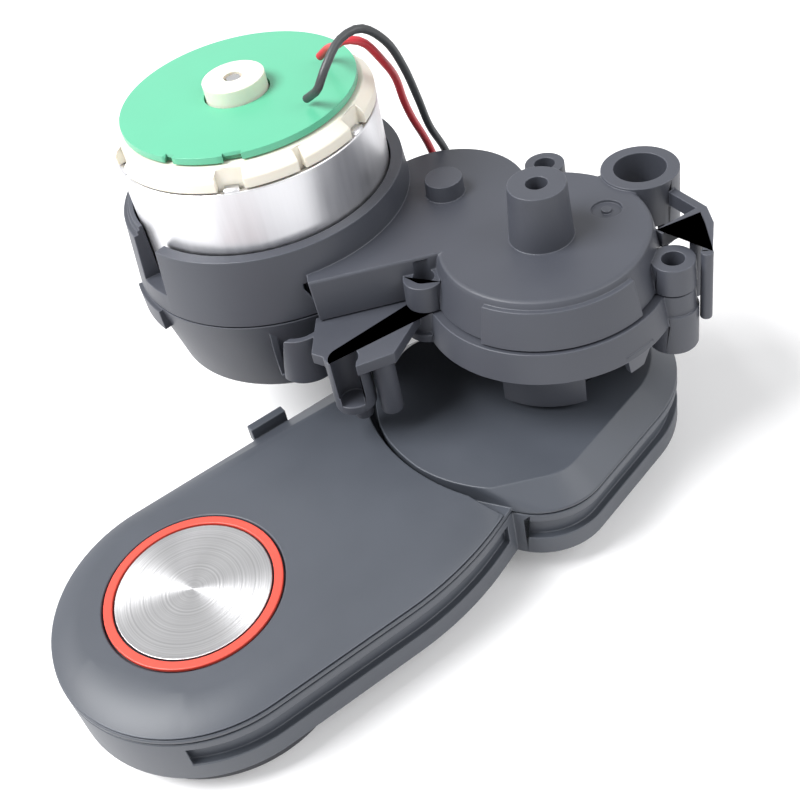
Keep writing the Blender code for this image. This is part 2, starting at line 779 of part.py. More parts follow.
def lobe_outline(radius):
    """Plan outline of the pivot lobe, a little fuller at the back."""
    size = LOBE_PARTING_RADIUS
    return hull(circle((0, 0), radius, size) + circle(LOBE_BACK, radius, size))


def boss(centre, radius, bottom, top):
    """A round boss with a little draft."""
    return cylinder(centre, radius * 1.06, bottom, top, radius)


def wedge(radius, start, stop):
    """The outline of a slice of a disc about the pivot axis."""
    return [(0.0, 0.0)] + arc((0, 0), radius, start, stop)


def web_to(place, width):
    """The outline of a rib from inside the pivot lobe to a boss beside it."""
    start = polar(CAVITY_RADIUS + SIDE_WALL / 2, heading((0, 0), place))
    return bar(start, place, width)


def case_bosses():
    """The solids that stand on the gear cover."""
    roof = CASE_TOP - CASE_WALL
    tube_web_top = TUBE_TOP - 3 * MM
    tongue = sector(MOTOR_AXIS, CUP_BORE - MM, CUP_BORE + TONGUE_WALL, *TONGUE_ANGLES)
    tip = sector(MOTOR_AXIS, CUP_BORE - MM, CUP_BORE + 0.6 * TONGUE_WALL, *TONGUE_ANGLES)
    tube = cylinder(TUBE_CENTRE, TUBE_RADIUS, TUBE_TOP - TUBE_LENGTH, TUBE_TOP)
    cut(tube, prism(lobe_outline(LOBE_BASE_RADIUS + CLEAR), 0, PARTING))
    return [
        cylinder((0, 0), TALL_BOSS_BASE_RADIUS, roof, TALL_BOSS_TOP, TALL_BOSS_TOP_RADIUS),
        boss(SECOND_AXIS, SHORT_BOSS_RADIUS, roof, CASE_TOP + SHORT_BOSS_RISE),
        boss(LEFT_EAR, EAR_RADIUS, PARTING, EAR_TOP),
        boss(RIGHT_EAR, EAR_RADIUS, PARTING, EAR_TOP),
        boss(REAR_EAR, EAR_RADIUS, PARTING, EAR_TOP + MM),
        prism(web_to(REAR_EAR, EAR_WEB), PARTING, EAR_TOP - MM),
        prism(web_to(RIGHT_EAR, EAR_WEB), PARTING, EAR_TOP - MM),
        prism(web_to(LEFT_EAR, EAR_WEB), PARTING, EAR_TOP - MM),
        tube,
        prism(web_to(TUBE_CENTRE, TUBE_WEB), PARTING, tube_web_top),
        prism(bar(TUBE_WEB_START, TUBE_WEB_END, SIDE_WALL), PARTING, tube_web_top),
        prism(ribbon(BRACKET_ROUTE, BRACKET_WALL), BRACKET_BOTTOM, BRACKET_TOP),
        prism(bar(BRACKET_STRUT_START, BRACKET_ROUTE[1], BRACKET_WALL), BRACKET_BOTTOM, BRACKET_TOP),
        prism(bar(BRACKET_ROUTE[2], SHORT_PIN, BRACKET_WALL), BRACKET_BOTTOM, BRACKET_TOP - MM),
        cylinder(BRACKET_ROUTE[-1], PIN_RADIUS, BRACKET_TOP - LONG_PIN_LENGTH, BRACKET_TOP),
        cylinder(SHORT_PIN, PIN_RADIUS, BRACKET_TOP - LONG_PIN_LENGTH, BRACKET_TOP - MM),
        prism(tongue, CUP_RIM - 1.5 * MM, TONGUE_TOP - 0.6 * MM),
        prism(tip, CUP_RIM - 2.0 * MM, TONGUE_TOP),
    ]


def build_upper_housing():
    """The cup's upper ring and the gear cover, moulded in one with their bosses."""
    roof = CASE_TOP - CASE_WALL
    cup = layered(
        [
            (circle(MOTOR_AXIS, CUP_PARTING_RADIUS), PARTING),
            (circle(MOTOR_AXIS, CUP_WAIST_RADIUS, CUP_PARTING_RADIUS), CASE_TOP),
            (circle(MOTOR_AXIS, CUP_RIM_RADIUS, CUP_PARTING_RADIUS), CUP_RIM),
        ]
    )
    lobe = layered(
        [
            (lobe_outline(LOBE_PARTING_RADIUS), PARTING),
            (lobe_outline(LOBE_TOP_RADIUS), CASE_TOP - ROOF_EDGE),
            (lobe_outline(LOBE_TOP_RADIUS - 0.3 * ROOF_EDGE), CASE_TOP - 0.3 * ROOF_EDGE),
            (lobe_outline(LOBE_TOP_RADIUS - ROOF_EDGE), CASE_TOP),
        ]
    )
    panel = layered(
        [
            (wedge(LOBE_PARTING_RADIUS + PANEL_RISE, *PANEL_ANGLES), PARTING),
            (wedge(LOBE_TOP_RADIUS + PANEL_RISE, *PANEL_ANGLES), PANEL_TOP),
        ]
    )
    size = SECOND_LOBE_RADIUS
    second = layered(
        [
            (circle(SECOND_AXIS, SECOND_LOBE_RADIUS + CASE_DRAFT, size), PARTING),
            (circle(SECOND_AXIS, SECOND_LOBE_RADIUS, size), CASE_TOP - 0.4 * ROOF_EDGE),
            (circle(SECOND_AXIS, SECOND_LOBE_RADIUS - 0.4 * ROOF_EDGE, size), CASE_TOP),
        ]
    )
    middle = layered(
        [
            (bridge(-CASE_DRAFT), PARTING),
            (bridge(), CASE_TOP - 0.4 * ROOF_EDGE),
            (bridge(0.4 * ROOF_EDGE), CASE_TOP),
        ]
    )
    join(cup, lobe, second, middle, panel, *case_bosses())
    cavity = cylinder((0, 0), CAVITY_RADIUS, PARTING - MM, roof)
    join(
        cavity,
        cylinder(SECOND_AXIS, SECOND_LOBE_RADIUS - SIDE_WALL, PARTING - MM, roof),
        prism(bridge(2.2 * MM), PARTING - MM, roof),
    )
    cut(cavity, cylinder(MOTOR_AXIS, CUP_BORE + INNER_CUP_WALL, 0, CUP_RIM + MM))
    notch = sector(MOTOR_AXIS, CUP_BORE - MM, CUP_PARTING_RADIUS + MM, *NOTCH_ANGLES)
    dimple = ring(DIMPLE, 0.8 * MM, 2.3 * MM, CASE_TOP - 0.5 * MM, CASE_TOP + MM)
    cut(
        cup,
        cavity,
        cylinder(MOTOR_AXIS, CUP_BORE, PARTING - MM, CUP_RIM + 3 * MM),
        prism(notch, NOTCH_FLOOR, CUP_RIM + MM),
        cylinder((0, 0), TALL_BOSS_HOLE, TALL_BOSS_TOP - TALL_BOSS_HOLE_DEPTH, TALL_BOSS_TOP + MM),
        cylinder(TUBE_CENTRE, TUBE_BORE, 0, TUBE_TOP + MM),
        cylinder(LEFT_EAR, EAR_HOLE, 0, EAR_TOP + 2 * MM),
        cylinder(RIGHT_EAR, EAR_HOLE, 0, EAR_TOP + 2 * MM),
        cylinder(REAR_EAR, EAR_HOLE, 0, EAR_TOP + 2 * MM),
        dimple,
    )
    bush_wall = cylinder((0, 0), UPPER_BUSH_SEAT + 1.2 * MM, UPPER_BUSH_BOTTOM, roof + 0.5 * MM)
    axle_wall = cylinder(SECOND_AXIS, 2.6 * MM, SECOND_PINION_TOP + CLEAR, roof + 0.5 * MM)
    join(cup, bush_wall, axle_wall)
    cut(
        cup,
        cylinder((0, 0), UPPER_BUSH_SEAT, PARTING, roof),
        cylinder(SECOND_AXIS, AXLE_RADIUS + CLEAR, PARTING, CASE_TOP + CLEAR),
    )
    finish(cup, "upper_housing", "black plastic")


def wiring_clip():
    """The open clip that stands on the cup's wall."""
    clip = cylinder(CLIP_CENTRE, CLIP_RADIUS, CLIP_BOTTOM, CASE_SPLIT)
    x, y = CLIP_CENTRE
    beyond = x + 2 * CLIP_RADIUS
    mouth = layered(
        [
            (rectangle(x, y + CLIP_MOUTH_LOW[0], beyond, y + CLIP_MOUTH_LOW[1]), CLIP_BOTTOM),
            (rectangle(x, y + CLIP_MOUTH_HIGH[0], beyond, y + CLIP_MOUTH_HIGH[1]), PARTING),
        ]
    )
    return cut(clip, cylinder(CLIP_CENTRE, CLIP_RADIUS - CLIP_WALL, 0, PARTING + MM), mouth)


def wiring_trough():
    """The shelf with its trough, peg and stub, open to the front."""
    trough_bore = TROUGH_RADIUS - CLIP_WALL
    front = polar(1.3 * MM, TROUGH_FACING, TROUGH_CENTRE)
    open_end = polar(4 * TROUGH_RADIUS, TROUGH_FACING, TROUGH_CENTRE)
    peg_place = (TROUGH_CENTRE[0] - 1.1 * MM, TROUGH_CENTRE[1] - 0.7 * MM)
    trough = prism(SHELF, CASE_SPLIT - SHELF_THICKNESS, CASE_SPLIT)
    join(
        trough,
        cylinder(TROUGH_CENTRE, TROUGH_RADIUS, TROUGH_BOTTOM, CASE_SPLIT),
        cylinder(peg_place, 1.5 * MM, TROUGH_BOTTOM - 4 * MM, TROUGH_BOTTOM + MM),
        cylinder(STUB_PLACE, 1.75 * MM, STUB_BOTTOM, CASE_SPLIT - 0.5 * MM),
    )
    return cut(
        trough,
        cylinder(front, trough_bore, TROUGH_BOTTOM + 1.5 * MM, PARTING + MM),
        prism(bar(front, open_end, 2 * trough_bore - 0.6 * MM), TROUGH_BOTTOM + 3.0 * MM, PARTING + MM),
    )


def build_lower_housing():
    """The cup's floor, the gear case's floor and the pivot stem, in one moulding."""
    top = CASE_SPLIT
    cup = layered(
        [
            (circle(MOTOR_AXIS, CUP_FLOOR_RADIUS - ROOF_EDGE, CUP_PARTING_RADIUS), CUP_FLOOR),
            (circle(MOTOR_AXIS, CUP_FLOOR_RADIUS, CUP_PARTING_RADIUS), CUP_FLOOR + ROOF_EDGE),
            (circle(MOTOR_AXIS, CUP_PARTING_RADIUS), top),
        ]
    )
    lobe = layered(
        [
            (lobe_outline(LOBE_BASE_RADIUS), CASE_FLOOR),
            (lobe_outline(LOBE_PARTING_RADIUS + LOBE_LEDGE), top),
        ]
    )
    first_floor = FIRST_LOBE_FLOOR - CASE_WALL
    lug = sector(MOTOR_AXIS, CUP_BORE + MM, LUG_RADIUS, *LUG_ANGLES)
    leg_back = LOBE_BASE_RADIUS - 1.8 * MM
    leg_tip = sector((0, 0), leg_back, LOBE_BASE_RADIUS - 0.8 * MM, 88, 96)
    leg_root = sector((0, 0), leg_back, LOBE_BASE_RADIUS - 0.1 * MM, 84.5, 100)
    leg = layered([(leg_tip, LEG_BOTTOM), (leg_root, CASE_FLOOR + MM)])
    second_floor = SECOND_LOBE_FLOOR + CASE_WALL
    tongues = []
    for start in (13, 133, 253):
        outline = sector((0, 0), SKIRT_RADIUS - SKIRT_WALL, SKIRT_RADIUS, start, start + 59)
        tongues.append(prism(outline, CUP_FLOOR, CASE_FLOOR + 0.5 * MM))
    join(
        cup,
        lobe,
        cylinder(FIRST_AXIS, FIRST_LOBE_RADIUS, first_floor, top),
        cylinder(SECOND_AXIS, SECOND_LOBE_RADIUS + CASE_DRAFT, SECOND_LOBE_FLOOR, top),
        prism(bridge(-CASE_DRAFT), CASE_FLOOR, top),
        cylinder((0, 0), STEM_RADIUS, STEM_BOTTOM, CASE_FLOOR + MM),
        boss(LEFT_EAR, EAR_RADIUS, CASE_FLOOR, top),
        cylinder(LEFT_EAR, EAR_RADIUS + MM, CASE_FLOOR, CASE_FLOOR + CASE_WALL),
        boss(RIGHT_EAR, EAR_RADIUS, CASE_FLOOR, top),
        cylinder(RIGHT_EAR, EAR_RADIUS + 0.5 * MM, EAR_FOOT, CASE_FLOOR + CASE_WALL),
        boss(REAR_EAR, EAR_RADIUS, CASE_FLOOR, top),
        prism(web_to(REAR_EAR, EAR_WEB), CASE_FLOOR, top),
        prism(lug, LUG_BOTTOM, top - CLEAR),
        leg,
        wiring_clip(),
        wiring_trough(),
        *tongues,
    )
    cut(
        cup,
        cylinder(MOTOR_AXIS, CUP_BORE, CAN_SEAT - CLEAR, PARTING + MM),
        cylinder(MOTOR_AXIS, CUP_LOWER_BORE, CUP_FLOOR + CUP_FLOOR_THICKNESS, PARTING + MM),
        cylinder(FIRST_AXIS, FIRST_LOBE_RADIUS - CASE_WALL, FIRST_LOBE_FLOOR, PARTING + MM),
        cylinder(SECOND_AXIS, SECOND_LOBE_RADIUS - SIDE_WALL, second_floor, PARTING + MM),
        cylinder((0, 0), CAVITY_RADIUS, CASE_FLOOR + CASE_WALL, PARTING + MM),
    )
    join(
        cup,
        cylinder(FIRST_AXIS, 2.4 * MM, CUP_FLOOR + 0.5 * MM, FIRST_WHEEL_BOTTOM - CLEAR),
        cylinder(SECOND_AXIS, 2.4 * MM, SECOND_LOBE_FLOOR + 0.5 * MM, SECOND_WHEEL_BOTTOM - CLEAR),
    )
    groove = ring(
        (0, 0),
        STEM_RADIUS - RETAINER_GROOVE,
        STEM_RADIUS + MM,
        RETAINER_BOTTOM - CLEAR,
        RETAINER_BOTTOM + RETAINER_THICKNESS + CLEAR,
        2.0,
    )
    cut(
        cup,
        cylinder((0, 0), STEM_BORE, 0, CASE_FLOOR + 2 * CASE_WALL),
        cylinder(FIRST_AXIS, AXLE_RADIUS + CLEAR, FIRST_LOBE_FLOOR, PARTING),
        cylinder(SECOND_AXIS, AXLE_RADIUS + CLEAR, SECOND_LOBE_FLOOR + CLEAR, PARTING),
        cylinder(LEFT_EAR, EAR_HOLE, 0, PARTING + MM),
        cylinder(RIGHT_EAR, EAR_HOLE, 0, PARTING + MM),
        cylinder(REAR_EAR, EAR_HOLE, 0, PARTING + MM),
        groove,
    )
    finish(cup, "lower_housing", "black plastic")


# Swinging arm


def arm_outline(inset=0.0):
    """Plan outline of the arm from its head to round the brush axis."""
    half = ARM_HALF_WIDTH - inset
    waist_centre = (WAIST_START, ARM_HALF_WIDTH - WAIST_RADIUS)
    points = [(10 * MM, -half)]
    points += arc(BRUSH_AXIS, half, -90, 90, ARM_HALF_WIDTH)
    points += arc(waist_centre, WAIST_RADIUS - inset, 90, 90 + WAIST_SWEEP, WAIST_RADIUS)
    points.append((10 * MM, points[-1][1] - 4 * MM))
    return hull(points)


def head_outline(inset=0.0):
    """Plan outline of the arm's head round the pivot."""
    points = circle((0, 0), HEAD_RADIUS - inset, HEAD_RADIUS)
    for side in (1, -1):
        corner = (HEAD_CORNER[0], side * HEAD_CORNER[1])
        points += circle(corner, HEAD_CORNER_RADIUS - inset, HEAD_CORNER_RADIUS)
    return hull(points)


def mound_outline(inset):
    """Plan outline of the raised floor that the gear case stands over."""
    nose = arc((NOSE_CENTRE, 0), NOSE_RADIUS, -NOSE_HALF_ANGLE, NOSE_HALF_ANGLE)
    return hull(head_outline(inset) + nose)


def arm_body(inset, bottom, top):
    """The arm's whole plan shape between two heights."""
    return join(prism(arm_outline(inset), bottom, top), prism(head_outline(inset), bottom, top))


def build_arm_lower_shell():
    """The tray under the belt, with a sunk band round its side."""
    shell = arm_body(0.0, 0.0, LOWER_SHELL_TOP)
    band = cut(
        arm_body(-2 * MM, BAND_BOTTOM, BAND_TOP),
        arm_body(BAND_DEPTH, BAND_BOTTOM - MM, BAND_TOP + MM),
    )
    beyond = prism(rectangle(BAND_END, -30 * MM, 100 * MM, 30 * MM), 0, LOWER_SHELL_TOP)
    neck = prism(rectangle(BAND_START - 2.5 * MM, -30 * MM, BAND_START, 30 * MM), 0, LOWER_SHELL_TOP)
    cut(band, beyond, neck)
    cut(shell, band, arm_body(SHELL_WALL, SHELL_FLOOR, LOWER_SHELL_TOP + MM))
    bearing_seat = HUB_JOURNAL_RADIUS + RUNNING + BUSH_WALL + CLEAR
    hub_wall = cylinder(BRUSH_AXIS, bearing_seat + 1.5 * MM, 0, PULLEY_BOTTOM - CLEAR)
    pivot_wall = cylinder((0, 0), OUTPUT_SHAFT_RADIUS + 2.5 * MM, 0, PULLEY_BOTTOM - CLEAR)
    collar_top = POST_BOTTOM - CLEAR
    collars = [cylinder(place, SCREW_HEAD_RADIUS + 1.6 * MM, 0, collar_top) for place in SCREW_PLACES]
    join(shell, hub_wall, pivot_wall, *collars)
    stepped = [
        (0, -MM),
        (SCREW_HEAD_RADIUS + CLEAR, -MM),
        (SCREW_HEAD_RADIUS + CLEAR, SCREW_HEAD_HEIGHT + 2 * CLEAR),
        (SCREW_RADIUS + CLEAR, SCREW_HEAD_HEIGHT + 2 * CLEAR),
        (SCREW_RADIUS + CLEAR, 5 * MM),
        (0, 5 * MM),
    ]
    holes = [turned(stepped, place, 3.0) for place in SCREW_PLACES]
    cut(
        shell,
        cylinder(BRUSH_AXIS, bearing_seat, HUB_BUSH_BOTTOM - CLEAR, PULLEY_BOTTOM + MM),
        cylinder(BRUSH_AXIS, bearing_seat - MM, -MM, PULLEY_BOTTOM),
        cylinder((0, 0), OUTPUT_SHAFT_RADIUS + RUNNING, OUTPUT_SHAFT_BOTTOM - CLEAR, PULLEY_BOTTOM),
        *holes,
    )
    finish(shell, "arm_lower_shell", "black plastic", (0, 0))


def build_arm_upper_shell():
    """The deck under the cover and the raised floor under the gear case."""
    deck = prism(arm_outline(0.0), DECK_BOTTOM, DECK_TOP)
    mound = layered(
        [
            (mound_outline(0.0), DECK_BOTTOM),
            (mound_outline(0.0), DECK_BOTTOM + 0.5 * MM),
            (mound_outline(MOUND_SLOPE), COVER_TOP),
        ]
    )
    within(mound, cylinder((0, 0), COVER_ARC_RADIUS - 0.6 * MM, 0, PARTING))
    tab = prism(
        rectangle(
            TAB_START,
            -ARM_HALF_WIDTH - TAB_REACH,
            TAB_START + TAB_LENGTH,
            -ARM_HALF_WIDTH + MM,
        ),
        DECK_BOTTOM,
        DECK_TOP,
    )
    tab_wall = prism(
        rectangle(
            TAB_START,
            -ARM_HALF_WIDTH - TAB_REACH,
            TAB_START + TAB_LENGTH,
            -ARM_HALF_WIDTH - CLEAR,
        ),
        DECK_BOTTOM,
        COVER_TOP - 0.8 * MM,
    )
    posts = [cylinder(place, POST_RADIUS, POST_BOTTOM, DECK_TOP) for place in SCREW_PLACES]
    join(deck, mound, tab, tab_wall, *posts)
    skin = 1.5 * MM
    hollow = layered(
        [
            (mound_outline(MOUND_SLOPE), DECK_BOTTOM - MM),
            (mound_outline(MOUND_SLOPE + 1.2 * MM), COVER_TOP - skin),
        ]
    )
    within(hollow, cylinder((0, 0), COVER_ARC_RADIUS - 2.2 * MM, 0, PARTING))
    holes = [cylinder(place, SCREW_RADIUS + CLEAR, 0, SCREW_LENGTH + 2 * MM) for place in SCREW_PLACES]
    cut(
        deck,
        hollow,
        cylinder((0, 0), STEM_RADIUS + RUNNING, 0, PARTING),
        cylinder(BRUSH_AXIS, HUB_SPINDLE_RADIUS + RUNNING + BUSH_WALL + CLEAR, 0, PARTING),
        *holes,
    )
    finish(deck, "arm_upper_shell", "black plastic", (0, 0))


def build_arm_cover():
    """The bevelled cover plate, cut to an arc about the pivot."""
    cover = layered([(arm_outline(0.0), COVER_BOTTOM), (arm_outline(COVER_BEVEL), COVER_TOP)])
    inner = layered(
        [
            (arm_outline(COVER_SKIN + MM), COVER_BOTTOM - MM),
            (arm_outline(COVER_BEVEL + COVER_SKIN), COVER_TOP - COVER_SKIN),
        ]
    )
    keep_web = cylinder((0, 0), COVER_ARC_RADIUS + COVER_SKIN, 0, PARTING)
    decor_floor = COVER_TOP - DECOR_RECESS - 0.8 * MM
    floor = cylinder(BRUSH_AXIS, DECOR_RADIUS + 1.4 * MM, decor_floor, COVER_TOP)
    cut(inner, keep_web, floor)
    cut(
        cover,
        inner,
        cylinder((0, 0), COVER_ARC_RADIUS, 0, PARTING),
        cylinder(BRUSH_AXIS, DECOR_RADIUS + CLEAR, COVER_TOP - DECOR_RECESS, PARTING),
    )
    finish(cover, "arm_cover", "black plastic", (0, 0))
    seat = COVER_TOP - DECOR_RECESS + CLEAR
    inner_radius = DECOR_DISC_RADIUS + CLEAR
    red = ring(BRUSH_AXIS, inner_radius, DECOR_RADIUS, seat, seat + DECOR_THICKNESS + 0.1 * MM)
    finish(red, "decor_ring", "red plastic", BRUSH_AXIS)
    disc = cylinder(BRUSH_AXIS, DECOR_DISC_RADIUS, seat, seat + DECOR_THICKNESS)
    finish(disc, "decor_disc", "aluminium", BRUSH_AXIS)


def build_arm_screws():
    """Four pan-head screws from below."""
    for number, place in enumerate(SCREW_PLACES, start=1):
        head = cylinder(place, SCREW_HEAD_RADIUS, CLEAR, CLEAR + SCREW_HEAD_HEIGHT)
        join(head, cylinder(place, SCREW_RADIUS, CLEAR + SCREW_HEAD_HEIGHT / 2, CLEAR + SCREW_LENGTH))
        for turn in (0, 90):
            start = polar(1.5 * MM, turn, place)
            stop = polar(1.5 * MM, turn + 180, place)
            cut(head, prism(bar(start, stop, 0.7 * MM), 0, MM))
        finish(head, f"arm_screw_{number}", "steel", place)


# Belt drive and brush hub


def pulley(axis, bore):
    """A toothed pulley between two flanges, bored for its shaft."""
    top = PULLEY_BOTTOM + PULLEY_HEIGHT
    points = []
    for tooth in range(PULLEY_TEETH):
        for share, radius in (
            (-0.30, PULLEY_TIP_RADIUS),
            (0.10, PULLEY_TIP_RADIUS),
            (0.25, PULLEY_TIP_RADIUS - PULLEY_TOOTH_DEPTH),
            (0.55, PULLEY_TIP_RADIUS - PULLEY_TOOTH_DEPTH),
        ):
            points.append(polar(radius, 360 * (tooth + share) / PULLEY_TEETH, axis))
    body = prism(points, PULLEY_BOTTOM + 0.3 * MM, top - 0.3 * MM)
    join(
        body,
        cylinder(axis, PULLEY_FLANGE_RADIUS, PULLEY_BOTTOM, PULLEY_BOTTOM + PULLEY_FLANGE),
        cylinder(axis, PULLEY_FLANGE_RADIUS, top - PULLEY_FLANGE, top),
    )
    cut(body, cylinder(axis, bore, 0, PARTING))
    return body


def belt_outline(radius):
    """The belt's path round both pulleys at one distance from it."""
    return arc((0, 0), radius, 90, 270) + arc(BRUSH_AXIS, radius, -90, 90)


def build_belt_drive():
    """The two pulleys, the output shaft and the belt."""
    finish(pulley((0, 0), OUTPUT_SHAFT_RADIUS + CLEAR), "drive_pulley", "white plastic", (0, 0))
    finish(pulley(BRUSH_AXIS, HUB_SPINDLE_RADIUS + CLEAR), "hub_pulley", "white plastic", BRUSH_AXIS)
    shaft_top = CASE_TOP - CASE_WALL - CLEAR
    shaft = cylinder((0, 0), OUTPUT_SHAFT_RADIUS, OUTPUT_SHAFT_BOTTOM, shaft_top)
    finish(shaft, "output_shaft", "steel", (0, 0))
    low = PULLEY_BOTTOM + PULLEY_FLANGE + CLEAR
    high = PULLEY_BOTTOM + PULLEY_HEIGHT - PULLEY_FLANGE - CLEAR
    belt = prism(belt_outline(BELT_RADIUS + BELT_THICKNESS), low, high)
    cut(belt, prism(belt_outline(BELT_RADIUS), low - MM, high + MM))
    finish(belt, "drive_belt", "belt rubber", (0, 0))


def build_brush_hub():
    """The turning hub that the side brush plugs into, open below."""
    bottom = -HUB_DROP
    rim = [
        (0, bottom + 0.4 * MM),
        (HUB_DISH_INNER, bottom + 0.4 * MM),
        (HUB_RADIUS - 1.0 * MM, bottom),
        (HUB_RADIUS, bottom + 1.2 * MM),
        (HUB_RADIUS - 0.7 * MM, -CLEAR),
        (HUB_JOURNAL_RADIUS, -CLEAR),
        (HUB_JOURNAL_RADIUS, PULLEY_BOTTOM - CLEAR),
        (HUB_SPINDLE_RADIUS, PULLEY_BOTTOM - CLEAR),
        (HUB_SPINDLE_RADIUS, DECK_TOP + 0.6 * MM),
        (0, DECK_TOP + 0.6 * MM),
    ]
    hub = turned(rim, BRUSH_AXIS)
    dish = ring(BRUSH_AXIS, HUB_DISH_INNER, HUB_DISH_OUTER, bottom - MM, bottom + HUB_DISH_DEPTH, 2.0)
    spokes = []
    for rib in range(HUB_RIBS):
        outer = polar(HUB_DISH_OUTER + MM, 360 * rib / HUB_RIBS, BRUSH_AXIS)
        spoke = bar(BRUSH_AXIS, outer, HUB_RIB_WIDTH)
        spokes.append(prism(spoke, bottom - 2 * MM, bottom + 2 * HUB_DISH_DEPTH))
    cut(dish, *spokes)
    half = SOCKET_SIDE / 2
    socket = prism(
        rectangle(BRUSH_REACH - half, -half, BRUSH_REACH + half, half),
        bottom - MM,
        bottom + SOCKET_DEPTH,
    )
    cut(hub, dish, socket)
    finish(hub, "brush_hub", "black plastic", BRUSH_AXIS)


def bush(name, axis, shaft_radius, bottom, length):
    """A plain sintered bush round a shaft."""
    inner = shaft_radius + RUNNING
    body = ring(axis, inner, inner + BUSH_WALL, bottom, bottom + length)
    return finish(body, name, "bronze", axis)


def build_bushes():
    """The bushes of the output shaft and the brush hub, and the arm's retainer."""
    bush("output_lower_bush", (0, 0), OUTPUT_SHAFT_RADIUS, STEM_BOTTOM + CLEAR, BUSH_LENGTH)
    bush_top = CASE_TOP - CASE_WALL - CLEAR
    bush("output_upper_bush", (0, 0), OUTPUT_SHAFT_RADIUS, UPPER_BUSH_BOTTOM, bush_top - UPPER_BUSH_BOTTOM)
    lower_length = PULLEY_BOTTOM - CLEAR - HUB_BUSH_BOTTOM
    bush("hub_lower_bush", BRUSH_AXIS, HUB_JOURNAL_RADIUS, HUB_BUSH_BOTTOM, lower_length)
    upper_bottom = DECK_BOTTOM - HUB_BUSH_DROP
    bush("hub_upper_bush", BRUSH_AXIS, HUB_SPINDLE_RADIUS, upper_bottom, DECK_TOP - upper_bottom)
    retainer = ring(
        (0, 0),
        STEM_RADIUS - RETAINER_GROOVE + CLEAR,
        RETAINER_RADIUS,
        RETAINER_BOTTOM,
        RETAINER_BOTTOM + RETAINER_THICKNESS,
    )
    finish(retainer, "arm_retainer", "steel", (0, 0))


# Motor


def radial_slot(inner_radius, angle, width):
    """A cutter that opens the motor's edge from a radius outwards."""
    inner = polar(inner_radius, angle, MOTOR_AXIS)
    outer = polar(CAN_RADIUS + 2.0 * MM, angle, MOTOR_AXIS)
    return prism(bar(inner, outer, width), CAN_TOP, PCB_TOP + MM)


def rim_notches():
    """Cutters for the end cap's rim, where the can's tabs are folded in."""
    inner_radius = CAN_RADIUS - RIM_NOTCH_DEPTH
    notches = [radial_slot(inner_radius, angle, RIM_NOTCH_WIDTH) for angle in RIM_NOTCH_ANGLES]
    return notches + [radial_slot(inner_radius, RIM_SLIT_ANGLE, RIM_SLIT_WIDTH)]


